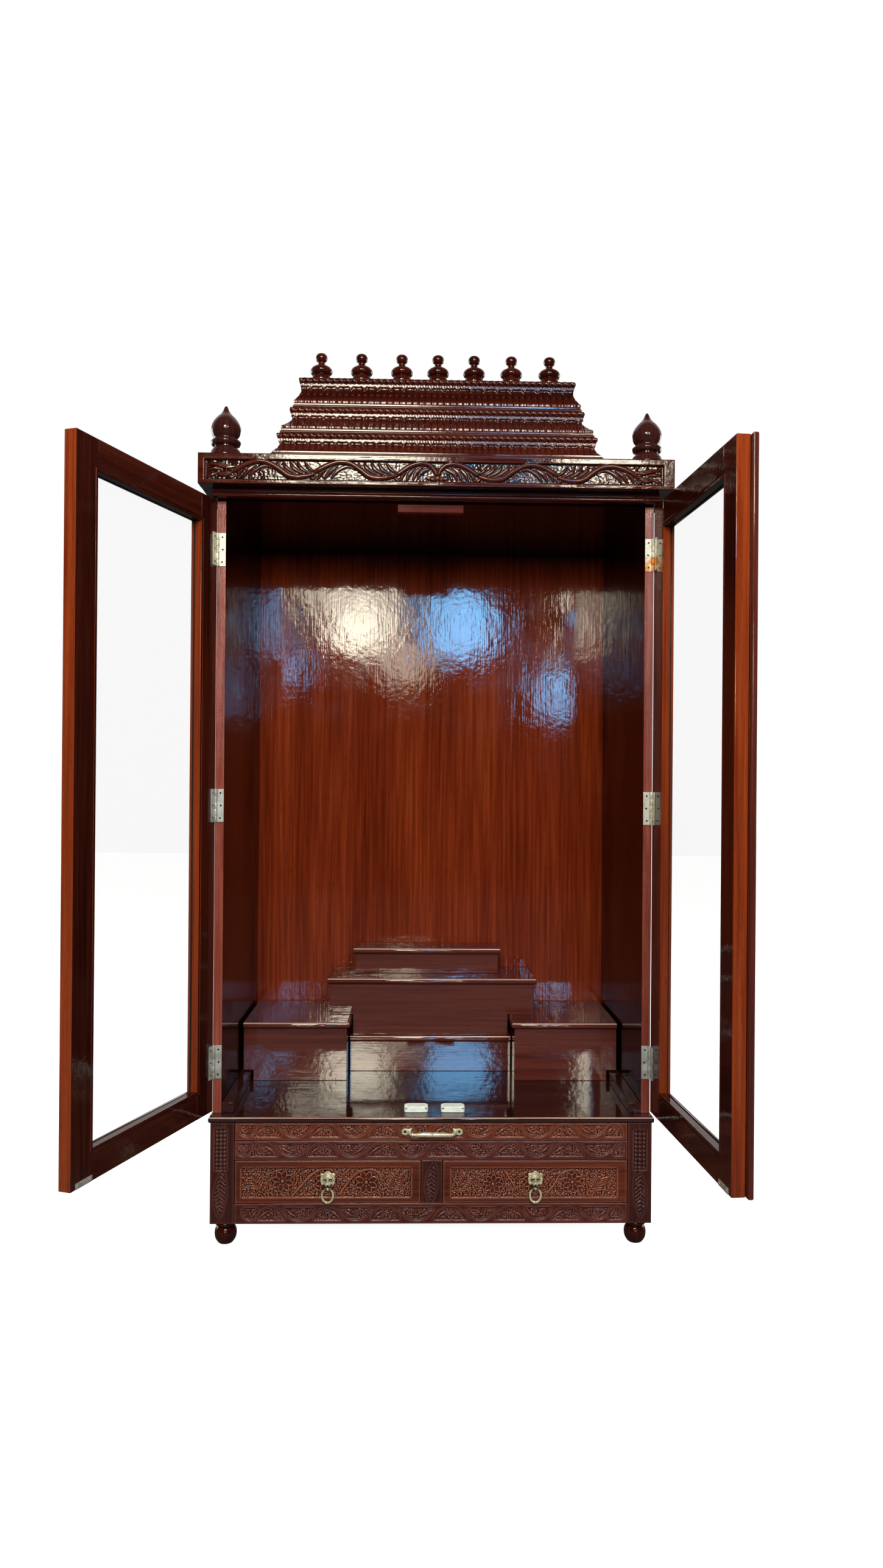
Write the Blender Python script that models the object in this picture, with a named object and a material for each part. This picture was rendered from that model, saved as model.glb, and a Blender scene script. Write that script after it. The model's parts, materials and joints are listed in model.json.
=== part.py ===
"""Home temple: a shrine cabinet with glazed doors on a drawer base, under a carved cornice,
a tiered gopuram and turned finials, with a stepped altar inside.

Metres, +Z up. The cabinet's own coordinates have x = 0 on its centre plane, y = 0 at the front
edges of its side panels (+y towards the back) and z = 0 on the floor. The empty "temple" carries
them to the model's origin, the middle of the floor area covered with the doors standing open.
"""
import math

import bmesh
import bpy
from mathutils import Matrix, Vector

# ---- Driving dimensions -------------------------------------------------------------------

TEMPLE_PLACE = (0.0495, -0.006, 0.0)  # where the cabinet's own origin stands in the model
GAP = 0.0003                          # clearance left between touching pieces
BITE = 0.001                          # overlap between shapes that are joined into one piece
PAST = 0.010                          # how far a cutting shape runs past what it cuts

CABINET_W = 0.914                     # 36 in across the side panels
HALF_W = CABINET_W / 2
PANEL_T = 0.018                       # side panels, base sides and frame members
INNER_HALF = HALF_W - PANEL_T
BACK_FACE = 0.478                     # inner face of the back panel
BACK_T = 0.006
BOARD_BACK = BACK_FACE - GAP          # where boards that run to the back panel end

FOOT_H = 0.0465
FOOT_X, FOOT_FRONT_Y, FOOT_BACK_Y = 0.428, 0.001, 0.449

BASE_FRONT = -0.024                   # front face of the drawer base
POST_W = 0.050
BASE_TOP = 0.2555                     # underside of the slab
SLAB_T = 0.012
SLAB_TOP = BASE_TOP + SLAB_T
SLAB_OVERHANG, SLAB_END_OVERHANG, SLAB_NOSE_R = 0.005, 0.004, 0.004
BOTTOM_RAIL_TOP = 0.0885
MIDDLE_RAIL = (0.178, 0.218)
STILE_W = 0.044                       # between the two drawers
FLOOR_T = 0.012
SHELF_T = 0.010
PARTITION_T = 0.016

FRONT_GAP = 0.0010                    # shadow line round drawer and tray fronts
BOX_INSET = 0.004                     # drawer and tray boxes are narrower than their fronts
DRAWER_DEPTH = 0.440
DRAWER_WALL = 0.010
DRAWER_BOTTOM = 0.006
DRAWER_SIDE_H = 0.074
TRAY_DEPTH = 0.430
TRAY_WALL = 0.012
TRAY_BOTTOM = 0.009
TRAY_SIDE_H = 0.026

PANEL_TOP = 1.5425                    # top of the side panels
TOP_T = 0.0213
DOOR_STOP = ((-0.082, 0.0010, PANEL_TOP - 0.0165), (0.056, 0.0185, PANEL_TOP - GAP))
RAIL_W, RAIL_H = 0.025, 0.0217        # strips along the cabinet floor
CATCH_W, CATCH_D, CATCH_H, CATCH_CORNER = 0.050, 0.026, 0.012, 0.007
CATCH_X = (-0.0335, 0.0435)
CATCH_FRONT = 0.0035

CORNICE_BOTTOM = PANEL_TOP + TOP_T + 2 * GAP
CORNICE_H = 0.062
CORNICE_TOP = CORNICE_BOTTOM + CORNICE_H
CORNICE_HALF = 0.487
CORNICE_FRONT = -0.056
CORNICE_T = 0.034
DECK_T = 0.012
BEAD_HALF, BEAD_R, BEAD_FRONT = 0.463, 0.0048, -0.0265
DOOR_CLEAR = 0.0022                   # between the doors' top edges and the bead

GOPURAM_BACK = 0.230
GOPURAM_WALL = 0.024
ROPE_HALF = (0.331, 0.308, 0.291)     # half width over the rope moulding, lowest tier first
FOOT_HALF = (0.341, 0.325, 0.302)     # half width at the foot of each tier
GOPURAM_FRONT = -0.049                # front of the lowest tier's foot
TIER_H = (0.0505, 0.0610, 0.0680)
TIER_BASE = CORNICE_TOP + GAP
FILLET_H, FASCIA_H, ROPE_D = 0.0085, 0.0095, 0.0125
ROPE_PROUD, COVE_INSET = 0.0025, 0.0020
LEDGE_FALL = 0.0004                   # small ledges slope, so that no two loops share a level
FINIAL_X = (-0.247, -0.1615, -0.076, 0.001, 0.078, 0.1575, 0.239)   # set by eye, not evenly
FINIAL_ROW_Y = 0.041
FINIAL_H, BALL_R = 0.0645, 0.0120
CORNER_X, CORNER_Y, CORNER_H = 0.4385, -0.011, 0.1105

STEP_T = 0.012                        # boards of the altar steps
STEP_TOP_T = 0.0145
NOSING, NOSING_R = 0.007, 0.0062
BLOCK_FRONT, BLOCK_TOP = 0.236, 0.403
BLOCK_INNER, BLOCK_OUTER = 0.1945, 0.433
NOTCH_W, NOTCH_H = 0.023, 0.0247      # cut out of each block over the floor strip
LOW_TOP, SIDE_PLAY = 0.3533, 0.002    # the low step stands loosely between the blocks
MIDDLE_FRONT, MIDDLE_TOP = 0.317, 0.4905
MIDDLE_X = (-0.2415, 0.2475)
TOP_FRONT, TOP_TOP = 0.380, 0.5528
TOP_X = (-0.184, 0.166)
STEP_BACK = 0.472

DOOR_BOTTOM, DOOR_TOP = 0.2715, 1.5440
DOOR_T = 0.024
DOOR_MEET = 0.0015                    # half the gap between the closed doors
STILE, TOP_RAIL, BOTTOM_RAIL = 0.060, 0.056, 0.056
REBATE = 0.007
GLASS_T, OUTER_LIP = 0.004, 0.005
ASTRAGAL_W, ASTRAGAL_T, ASTRAGAL_OVERLAP = 0.034, 0.010, 0.012
LEFT_OPEN, RIGHT_OPEN = 109.2, 94.0   # how far each door stands open, in degrees

LEAF_T, LEAF_W, LEAF_H = 0.0016, 0.0134, 0.0690
LEAF_CLEAR = 0.0004                   # between a leaf's plate and the knuckles it doesn't carry
PIN_X, PIN_Y = HALF_W - 0.0018, -0.0030
KNUCKLE_R, KNUCKLES = 0.0024, 5
HINGE_Z = (0.3745, 0.9085, 1.4415)
DOOR_INNER = 2 * PIN_Y                # inner face of a closed door

PULL_X, PULL_PIVOT_Z = 0.2145, 0.1219
RING_R, RING_WIRE = 0.0127, 0.0018
RING_PLANE = BASE_FRONT - 0.0060
PLATE_W, PLATE_H, PLATE_T = 0.034, 0.032, 0.003
DOME = (0.0105, 0.0075, 0.0090)       # half sizes of the lion's head
DOME_RISE, DOME_SINK = 0.0015, 0.0010
SNOUT_HALF_W, SNOUT_WALL, SNOUT_RISE, BORE_R = 0.0035, 0.0045, 0.0065, 0.0027
HANDLE_Z, HANDLE_REACH, HANDLE_BOW = 0.2374, 0.049, 0.022
HANDLE_R, GRIP_SWELL = 0.0026, 0.0018  # the bow's radius at its ends, and how much fatter its grip is
SCREW_PLATE_X, SCREW_PLATE = 0.055, (0.0110, 0.0082, 0.0030)   # half width, half height, thickness

# ---- Finishes -----------------------------------------------------------------------------

FINISHES = {
    "mahogany": ((0.105, 0.022, 0.014), 0.22, 0.0),
    "veneer": ((0.230, 0.050, 0.020), 0.25, 0.0),
    "carved": ((0.120, 0.030, 0.020), 0.35, 0.0),
    "glass": ((0.80, 0.86, 0.84), 0.05, 0.0),
    "brass": ((0.74, 0.60, 0.30), 0.30, 1.0),
    "steel": ((0.62, 0.60, 0.52), 0.35, 1.0),
    "plastic": ((0.84, 0.86, 0.80), 0.40, 0.0),
}


def finish_for(name, finish):
    """A material of its own for one piece."""
    colour, roughness, metallic = FINISHES[finish]
    material = bpy.data.materials.new(f"{name}_{finish}")
    material.use_nodes = True
    shader = material.node_tree.nodes["Principled BSDF"]
    shader.inputs["Base Color"].default_value = (*colour, 1.0)
    shader.inputs["Roughness"].default_value = roughness
    shader.inputs["Metallic"].default_value = metallic
    return material


# ---- Shapes -------------------------------------------------------------------------------

def block(size):
    """A box of the given size, centred on its own origin."""
    bm = bmesh.new()
    bmesh.ops.create_cube(bm, size=1.0, matrix=Matrix.Diagonal((*size, 1.0)))
    return bm


def round_ends(bm, sides, radius, segments=3):
    """Round the level edges of a box on the named sides, such as -y for a front nosing."""
    chosen = []
    for side in sides:
        axis = "xyz".index(side[1])
        sign = -1 if side[0] == "-" else 1
        reach = max(sign * v.co[axis] for v in bm.verts)
        for edge in bm.edges:
            on_side = all(abs(sign * v.co[axis] - reach) < 1e-6 for v in edge.verts)
            level = abs(edge.verts[0].co.z - edge.verts[1].co.z) < 1e-6
            if on_side and level and edge not in chosen:
                chosen.append(edge)
    bmesh.ops.bevel(bm, geom=chosen, offset=radius, segments=segments, profile=0.5,
                    affect="EDGES", clamp_overlap=True, material=-1)
    return bm


def turned(profile, segments):
    """Spin (radius, height) points round Z; the first and last lie on the axis."""
    bm = bmesh.new()
    verts = [bm.verts.new((radius, 0.0, height)) for radius, height in profile]
    edges = [bm.edges.new(pair) for pair in zip(verts, verts[1:])]
    bmesh.ops.spin(bm, geom=verts + edges, axis=(0, 0, 1), cent=(0, 0, 0),
                   angle=2 * math.pi, steps=segments, use_merge=True)
    bmesh.ops.remove_doubles(bm, verts=bm.verts, dist=1e-6)
    bmesh.ops.recalc_face_normals(bm, faces=bm.faces)
    return bm


def arc(centre, radius, start, end, steps):
    """Points round an arc, as (radius, height) pairs for a turned profile; angles in degrees."""
    points = []
    for i in range(steps + 1):
        angle = math.radians(start + (end - start) * i / steps)
        points.append((centre[0] + radius * math.cos(angle), centre[1] + radius * math.sin(angle)))
    return points


def prism(outline, height):
    """Raise a flat (x, y) outline by height, from z = 0."""
    bm = bmesh.new()
    face = bm.faces.new([bm.verts.new((x, y, 0.0)) for x, y in outline])
    raised = bmesh.ops.extrude_face_region(bm, geom=[face])["geom"]
    bmesh.ops.translate(bm, vec=(0, 0, height), verts=[g for g in raised
                                                       if isinstance(g, bmesh.types.BMVert)])
    bmesh.ops.recalc_face_normals(bm, faces=bm.faces)
    return bm


def cylinder(radius, length, segments=12):
    """An upright cylinder centred on its own origin."""
    bm = bmesh.new()
    bmesh.ops.create_cone(bm, cap_ends=True, segments=segments, radius1=radius,
                          radius2=radius, depth=length)
    return bm


def to_mesh(name, bm, smooth):
    mesh = bpy.data.meshes.new(name)
    bm.to_mesh(mesh)
    bm.free()
    if smooth:
        mesh.shade_smooth()
        mesh.set_sharp_from_angle(angle=math.radians(35))
    return mesh


def piece(name, bm, finish, place=(0, 0, 0), parent=None, smooth=False):
    """Put one sub-part in the scene, under the temple's empty or a moving body's own."""
    obj = bpy.data.objects.new(name, to_mesh(name, bm, smooth))
    obj.data.materials.append(finish_for(name, finish))
    obj.parent = parent or TEMPLE
    obj.location = place
    bpy.context.collection.objects.link(obj)
    return obj


def board(name, low, high, finish, parent=None, sides=(), radius=0.0):
    """A board between two corners, with the named sides rounded."""
    low, high = Vector(low), Vector(high)
    bm = block(high - low)
    if sides:
        round_ends(bm, sides, radius)
    return piece(name, bm, finish, (low + high) / 2, parent)


def sided(side, low, high):
    """Corners on the right-hand side (side = 1), or mirrored to the left (side = -1)."""
    x0, x1 = sorted((side * low[0], side * high[0]))
    return (x0, *low[1:]), (x1, *high[1:])


def combine(obj, operation, bm, place=(0, 0, 0), turn=(0, 0, 0)):
    """Join a shape to a piece, or cut it away, with a hidden operand placed beside it."""
    label = f"{obj.name}_{operation.lower()}_{len(obj.modifiers)}"
    operand = bpy.data.objects.new(label, to_mesh(label, bm, False))
    operand.parent = obj.parent
    operand.location = place
    operand.rotation_euler = turn
    operand.hide_render = True
    operand.display_type = "WIRE"
    bpy.context.collection.objects.link(operand)
    modifier = obj.modifiers.new(operation.title(), "BOOLEAN")
    modifier.operation = operation
    modifier.solver = "EXACT"
    modifier.object = operand
    return obj


def join(obj, low, high, sides=(), radius=0.0):
    low, high = Vector(low), Vector(high)
    bm = block(high - low)
    if sides:
        round_ends(bm, sides, radius)
    return combine(obj, "UNION", bm, (low + high) / 2)


def cut(obj, low, high):
    low, high = Vector(low), Vector(high)
    return combine(obj, "DIFFERENCE", block(high - low), (low + high) / 2)


def empty(name, place, parent=None):
    """An empty on a joint's axis, which its moving pieces hang from."""
    obj = bpy.data.objects.new(name, None)
    obj.location = place
    obj.parent = parent
    bpy.context.collection.objects.link(obj)
    return obj


# ---- Base ---------------------------------------------------------------------------------

def foot_profile():
    """A bun under a small collar, standing on a flat underside."""
    bun = arc((0.0100, 0.0225), 0.0128, -62, 62, 5)
    return [(0.0, 0.0), (0.0135, 0.0), (0.0150, 0.0035), *bun[1:], (0.0150, 0.0365),
            (0.0200, 0.0385), (0.0225, 0.0415), (0.0215, FOOT_H - GAP), (0.0, FOOT_H - GAP)]


def feet():
    for row, y in (("front", FOOT_FRONT_Y), ("back", FOOT_BACK_Y)):
        for side, hand in ((-1, "left"), (1, "right")):
            piece(f"foot_{row}_{hand}", turned(foot_profile(), 14), "mahogany",
                  (side * FOOT_X, y, 0.0), smooth=True)


def base():
    behind = BASE_FRONT + PANEL_T + GAP
    post_inner = HALF_W - POST_W
    under_slab = BASE_TOP - GAP
    for side, hand in ((-1, "left"), (1, "right")):
        board(f"base_post_{hand}", *sided(side, (post_inner, BASE_FRONT, FOOT_H),
                                          (HALF_W, BASE_FRONT + PANEL_T, under_slab)), "carved")
        board(f"base_side_{hand}", *sided(side, (INNER_HALF, behind, FOOT_H),
                                          (HALF_W, BOARD_BACK, under_slab)), "mahogany")
    between = post_inner - GAP
    board("base_bottom_rail", (-between, BASE_FRONT, FOOT_H),
          (between, BASE_FRONT + PANEL_T, BOTTOM_RAIL_TOP), "carved")
    board("base_middle_rail", (-between, BASE_FRONT, MIDDLE_RAIL[0]),
          (between, BASE_FRONT + PANEL_T, MIDDLE_RAIL[1]), "carved")
    inside = INNER_HALF - GAP
    board("base_floor", (-inside, behind, BOTTOM_RAIL_TOP - FLOOR_T),
          (inside, BOARD_BACK, BOTTOM_RAIL_TOP), "mahogany")
    shelf_top = MIDDLE_RAIL[1]
    board("tray_shelf", (-inside, behind, shelf_top - SHELF_T),
          (inside, BOARD_BACK, shelf_top), "mahogany")
    drawer_partition(shelf_top - SHELF_T)
    slab_half = HALF_W + SLAB_END_OVERHANG
    board("base_slab", (-slab_half, BASE_FRONT - SLAB_OVERHANG, BASE_TOP),
          (slab_half, BOARD_BACK, SLAB_TOP), "mahogany", sides=("-y", "-x", "+x"),
          radius=SLAB_NOSE_R)


def drawer_partition(shelf_underside):
    """The carved centre stile, with the partition board that runs back from it."""
    low_z = BOTTOM_RAIL_TOP + GAP
    high_z = MIDDLE_RAIL[0] - GAP
    stile = board("drawer_partition", (-STILE_W / 2, BASE_FRONT, low_z),
                  (STILE_W / 2, BASE_FRONT + PANEL_T, high_z), "carved")
    join(stile, (-PARTITION_T / 2, BASE_FRONT + PANEL_T - BITE, low_z),
         (PARTITION_T / 2, BOARD_BACK, high_z))


def drawer(side, hand):
    """A carved front with an open box behind it, its ring pull and the plate that holds it."""
    slide = empty(f"{hand}_drawer_slide", (0, 0, 0), TEMPLE)
    x0, x1 = STILE_W / 2 + FRONT_GAP, HALF_W - POST_W - FRONT_GAP
    z0 = BOTTOM_RAIL_TOP + FRONT_GAP
    front_back = BASE_FRONT + PANEL_T
    low, high = sided(side, (x0, BASE_FRONT, z0), (x1, front_back, MIDDLE_RAIL[0] - FRONT_GAP))
    body = board(f"{hand}_drawer", low, high, "carved", slide)
    side_low, side_high = sided(side, (x0 + BOX_INSET, front_back - BITE, z0),
                                (x1 - BOX_INSET, DRAWER_DEPTH, z0 + DRAWER_SIDE_H))
    join(body, side_low, side_high)
    cut(body, (side_low[0] + DRAWER_WALL, front_back, z0 + DRAWER_BOTTOM),
        (side_high[0] - DRAWER_WALL, DRAWER_DEPTH - DRAWER_WALL, z0 + 2 * DRAWER_SIDE_H))
    lion_plate(side, hand, slide)
    pull_ring(side, hand, slide)


def lion_plate(side, hand, slide):
    """An oval plate with a domed head, and a snout bored across for the ring."""
    x = side * PULL_X
    centre_z = PULL_PIVOT_Z + PLATE_H / 2 - BITE
    outline = [(PLATE_W / 2 * math.cos(2 * math.pi * i / 18),
                PLATE_H / 2 * math.sin(2 * math.pi * i / 18)) for i in range(18)]
    bm = prism(outline, PLATE_T)
    bmesh.ops.rotate(bm, cent=(0, 0, 0), matrix=Matrix.Rotation(math.pi / 2, 3, "X"), verts=bm.verts)
    plate = piece(f"{hand}_lion_plate", bm, "brass", (x, BASE_FRONT - GAP, centre_z), slide)
    dome = bmesh.new()
    bmesh.ops.create_uvsphere(dome, u_segments=12, v_segments=8, radius=1.0)
    bmesh.ops.scale(dome, vec=DOME, verts=dome.verts)
    flat = bmesh.ops.bisect_plane(dome, geom=dome.verts[:] + dome.edges[:] + dome.faces[:],
                                  plane_co=(0, DOME_SINK, 0), plane_no=(0, 1, 0),
                                  clear_outer=True)
    rim = [g for g in flat["geom_cut"] if isinstance(g, bmesh.types.BMEdge)]
    bmesh.ops.edgeloop_fill(dome, edges=rim)
    bmesh.ops.recalc_face_normals(dome, faces=dome.faces)
    plate_front = BASE_FRONT - GAP - PLATE_T
    combine(plate, "UNION", dome, (x, plate_front + DOME_SINK, centre_z + DOME_RISE))
    join(plate, (x - SNOUT_HALF_W, RING_PLANE - SNOUT_WALL, PULL_PIVOT_Z - SNOUT_WALL),
         (x + SNOUT_HALF_W, plate_front + 2 * BITE, PULL_PIVOT_Z + SNOUT_RISE))
    combine(plate, "DIFFERENCE", cylinder(BORE_R, PLATE_W), (x, RING_PLANE, PULL_PIVOT_Z),
            (0, math.pi / 2, 0))


def pull_ring(side, hand, slide):
    """A plain ring hanging from the snout, with its origin on the line it swings about."""
    pivot = empty(f"{hand}_ring_pivot", (side * PULL_X, RING_PLANE, PULL_PIVOT_Z), slide)
    upright = Matrix.Rotation(math.pi / 2, 4, "X")
    bm = bmesh.new()
    circle = bmesh.ops.create_circle(bm, segments=7, radius=RING_WIRE, matrix=(
        Matrix.Translation((RING_R, 0, 0)) @ upright))
    wire = list({edge for v in circle["verts"] for edge in v.link_edges})
    bmesh.ops.spin(bm, geom=circle["verts"] + wire, axis=(0, 0, 1), cent=(0, 0, 0),
                   angle=2 * math.pi, steps=20, use_merge=True)
    bmesh.ops.transform(bm, matrix=upright, verts=bm.verts)
    bmesh.ops.translate(bm, vec=(0, 0, -RING_R), verts=bm.verts)
    bmesh.ops.recalc_face_normals(bm, faces=bm.faces)
    piece(f"{hand}_pull_ring", bm, "brass", parent=pivot, smooth=True)


def tray():
    """A shallow pull-out tray across the whole front, under the slab."""
    slide = empty("tray_slide", (0, 0, 0), TEMPLE)
    half = HALF_W - POST_W - FRONT_GAP
    z0 = MIDDLE_RAIL[1] + FRONT_GAP
    front_back = BASE_FRONT + PANEL_T
    body = board("tray", (-half, BASE_FRONT, z0),
                 (half, front_back, BASE_TOP - FRONT_GAP), "carved", slide)
    box_half = half - BOX_INSET
    join(body, (-box_half, front_back - BITE, z0), (box_half, TRAY_DEPTH, z0 + TRAY_SIDE_H))
    inner = box_half - TRAY_WALL
    cut(body, (-inner, front_back, z0 + TRAY_BOTTOM),
        (inner, TRAY_DEPTH - TRAY_WALL, z0 + 2 * TRAY_SIDE_H))
    bow_handle(slide)


def bow_handle(slide):
    """A cast bow: two oval screw plates and a spindle grip standing forward between them."""
    stations, sides = 17, 8
    nearly_all = 0.992                # of the half turn, so that the ends keep a direction
    bm = bmesh.new()
    rings = []
    for i in range(stations):
        t = math.pi * (0.5 + nearly_all * (i / (stations - 1) - 0.5))
        x = -HANDLE_REACH * math.copysign(abs(math.cos(t)) ** 0.6, math.cos(t))
        y = -HANDLE_BOW * math.sin(t) ** 0.5
        turn = math.radians(90) * math.copysign(abs(x / HANDLE_REACH) ** 5, x)
        radius = HANDLE_R + GRIP_SWELL * (1.0 - (x / HANDLE_REACH) ** 2)
        frame = (Matrix.Translation((x, y, 0)) @ Matrix.Rotation(turn, 4, "Z")
                 @ Matrix.Rotation(math.pi / 2, 4, "Y"))
        ring = bmesh.ops.create_circle(bm, segments=sides, radius=radius, matrix=frame)
        rings.append(list({edge for v in ring["verts"] for edge in v.link_edges}))
    for first, second in zip(rings, rings[1:]):
        bmesh.ops.bridge_loops(bm, edges=first + second)
    for end in (rings[0], rings[-1]):
        bmesh.ops.edgeloop_fill(bm, edges=end)
    bmesh.ops.recalc_face_normals(bm, faces=bm.faces)
    handle = piece("tray_handle", bm, "brass", (0, BASE_FRONT - GAP, HANDLE_Z), slide, smooth=True)
    half_w, half_h, thick = SCREW_PLATE
    outline = [(half_w * math.cos(2 * math.pi * i / 16),
                half_h * math.sin(2 * math.pi * i / 16)) for i in range(16)]
    for side in (-1, 1):
        combine(handle, "UNION", prism(outline, thick),
                (side * SCREW_PLATE_X, BASE_FRONT - GAP, HANDLE_Z), (math.pi / 2, 0, 0))


# ---- Cabinet ------------------------------------------------------------------------------

def cabinet():
    floor = SLAB_TOP + GAP
    for side, hand in ((-1, "left"), (1, "right")):
        board(f"side_panel_{hand}", *sided(side, (INNER_HALF, 0.0, floor),
                                           (HALF_W, BOARD_BACK, PANEL_TOP)), "mahogany")
        board(f"floor_strip_{hand}",
              *sided(side, (INNER_HALF - GAP - RAIL_W, 0.0, floor),
                     (INNER_HALF - GAP, BOARD_BACK, floor + RAIL_H)), "mahogany")
    board("back_panel", (-HALF_W, BACK_FACE, FOOT_H), (HALF_W, BACK_FACE + BACK_T, CORNICE_TOP),
          "veneer")
    board("top_panel", (-HALF_W, 0.0, PANEL_TOP + GAP), (HALF_W, BOARD_BACK, PANEL_TOP + TOP_T),
          "mahogany")
    board("door_stop", *DOOR_STOP, "mahogany")
    for x, hand in zip(CATCH_X, ("left", "right")):
        magnetic_catch(x, hand, floor)


def magnetic_catch(x, hand, floor):
    """A low housing with its corners cut, standing on the slab just inside the doors."""
    half, corner = CATCH_W / 2, CATCH_CORNER
    outline = [(-half + corner / 2, 0), (half - corner / 2, 0), (half, corner / 2),
               (half, CATCH_D - corner), (half - corner, CATCH_D),
               (-half + corner, CATCH_D), (-half, CATCH_D - corner), (-half, corner / 2)]
    piece(f"magnetic_catch_{hand}", prism(outline, CATCH_H), "plastic", (x, CATCH_FRONT, floor))


# ---- Altar steps --------------------------------------------------------------------------

def step_box(name, x, y, z, sides):
    """A hollow step, open below: boards STEP_T thick under a nosed top."""
    top_low = z[1] - STEP_TOP_T
    body = board(name, (x[0], y[0], z[0]), (x[1], y[1], top_low + BITE), "mahogany")
    reach_low = x[0] - (NOSING if "-x" in sides else 0.0)
    reach_high = x[1] + (NOSING if "+x" in sides else 0.0)
    join(body, (reach_low, y[0] - NOSING, top_low), (reach_high, y[1], z[1]), sides, NOSING_R)
    return body


def hollow(body, x, y, z):
    cut(body, (x[0] + STEP_T, y[0] + STEP_T, z[0] - PAST),
        (x[1] - STEP_T, y[1] - STEP_T, z[1] - STEP_TOP_T))


def altar():
    floor = SLAB_TOP + GAP
    for side, hand in ((-1, "left"), (1, "right")):
        x = sorted((side * BLOCK_INNER, side * BLOCK_OUTER))
        inward = "+x" if side < 0 else "-x"
        y, z = (BLOCK_FRONT, STEP_BACK), (floor, BLOCK_TOP)
        body = step_box(f"step_block_{hand}", x, y, z, ("-y", inward))
        hollow(body, x, y, z)
        cut(body, *sided(side, (BLOCK_OUTER - NOTCH_W, BLOCK_FRONT - PAST, floor - PAST),
                         (BLOCK_OUTER + PAST, STEP_BACK + PAST, floor + NOTCH_H)))
    low_x = (-BLOCK_INNER + SIDE_PLAY, BLOCK_INNER - SIDE_PLAY)
    y, z = (MIDDLE_FRONT, STEP_BACK), (floor, LOW_TOP)
    hollow(step_box("step_low", low_x, y, z, ("-y",)), low_x, y, z)
    middle_step(low_x, y)
    z = (MIDDLE_TOP + GAP, TOP_TOP)
    y = (TOP_FRONT, STEP_BACK)
    hollow(step_box("step_top", TOP_X, y, z, ("-y", "-x", "+x")), TOP_X, y, z)


def middle_step(low_x, y):
    """A T-shaped front: its wings rest on the blocks, its centre reaches down to the low step."""
    wings = (BLOCK_TOP + GAP, MIDDLE_TOP)
    body = step_box("step_middle", MIDDLE_X, y, wings, ("-y", "-x", "+x"))
    centre = (low_x[0] + NOSING, low_x[1] - NOSING)
    join(body, (centre[0], y[0], LOW_TOP + GAP), (centre[1], y[1], BLOCK_TOP + GAP + BITE))
    hollow(body, MIDDLE_X, y, wings)
    hollow(body, centre, y, (LOW_TOP, MIDDLE_TOP))


# ---- Doors --------------------------------------------------------------------------------

def door(side, hand, opening):
    """A glazed frame, modelled shut and turned out about its hinge pins."""
    pivot = empty(f"{hand}_door_pivot", (side * PIN_X, PIN_Y, 0.0), TEMPLE)
    pivot.rotation_euler = (0, 0, side * math.radians(opening))
    x_hinge, x_meet = HALF_W, DOOR_MEET
    inner, outer = DOOR_INNER, DOOR_INNER - DOOR_T

    def place(low, high):
        low, high = sided(side, low, high)
        shift = Vector((-side * PIN_X, -PIN_Y, 0.0))
        return Vector(low) + shift, Vector(high) + shift

    frame = board(f"{hand}_door_frame", *place((x_meet, outer, DOOR_BOTTOM),
                                               (x_hinge, inner, DOOR_TOP)), "mahogany", pivot)
    opening_low = (x_meet + STILE, outer - PAST, DOOR_BOTTOM + BOTTOM_RAIL)
    opening_high = (x_hinge - STILE, inner + PAST, DOOR_TOP - TOP_RAIL)
    cut(frame, *place(opening_low, opening_high))
    rebate_low = (opening_low[0] - REBATE, outer + OUTER_LIP, opening_low[2] - REBATE)
    rebate_high = (opening_high[0] + REBATE, inner + PAST, opening_high[2] + REBATE)
    cut(frame, *place(rebate_low, rebate_high))
    glass_low = [value + GAP for value in rebate_low]
    glass_high = (rebate_high[0] - GAP, glass_low[1] + GLASS_T, rebate_high[2] - GAP)
    board(f"{hand}_door_glass", *place(glass_low, glass_high), "glass", pivot)
    if side > 0:
        edge = x_meet - ASTRAGAL_OVERLAP
        board("door_astragal", *place((edge, outer - GAP - ASTRAGAL_T, DOOR_BOTTOM),
                                      (edge + ASTRAGAL_W, outer - GAP, DOOR_TOP)), "mahogany", pivot)
    for level, z in zip(("low", "middle", "high"), HINGE_Z):
        hinge_leaf(f"{hand}_hinge_{level}_cabinet_leaf", side, z, 0, TEMPLE, (0, 0, 0))
        hinge_leaf(f"{hand}_hinge_{level}_door_leaf", side, z, 1, pivot,
                   (-side * PIN_X, -PIN_Y, 0.0))


def hinge_leaf(name, side, z, first, parent, shift):
    """One leaf of a butt hinge; first is 0 for the outer knuckles and 1 for those between."""
    shift = Vector(shift)
    toward = 1 if first == 0 else -1
    on_wood = -PIN_Y - GAP            # from the pin to the leaf's face against the wood
    plate_y = sorted((PIN_Y + toward * on_wood, PIN_Y + toward * (on_wood - LEAF_T)))
    edge_x = PIN_X - KNUCKLE_R - LEAF_CLEAR
    plate_x = (edge_x - LEAF_W, edge_x)
    low, high = sided(side, (plate_x[0], plate_y[0], z - LEAF_H / 2),
                      (plate_x[1], plate_y[1], z + LEAF_H / 2))
    leaf = board(name, Vector(low) + shift, Vector(high) + shift, "steel", parent)
    pitch = LEAF_H / KNUCKLES
    for i in range(first, KNUCKLES, 2):
        centre = z - LEAF_H / 2 + (i + 0.5) * pitch
        half = pitch / 2 - GAP
        low, high = sided(side, (edge_x - BITE, plate_y[0], centre - half),
                          (PIN_X, plate_y[1], centre + half))
        join(leaf, Vector(low) + shift, Vector(high) + shift)
        combine(leaf, "UNION", cylinder(KNUCKLE_R, 2 * half, 8),
                Vector((side * PIN_X, PIN_Y, centre)) + shift)


# ---- Cornice and gopuram ------------------------------------------------------------------

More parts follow.
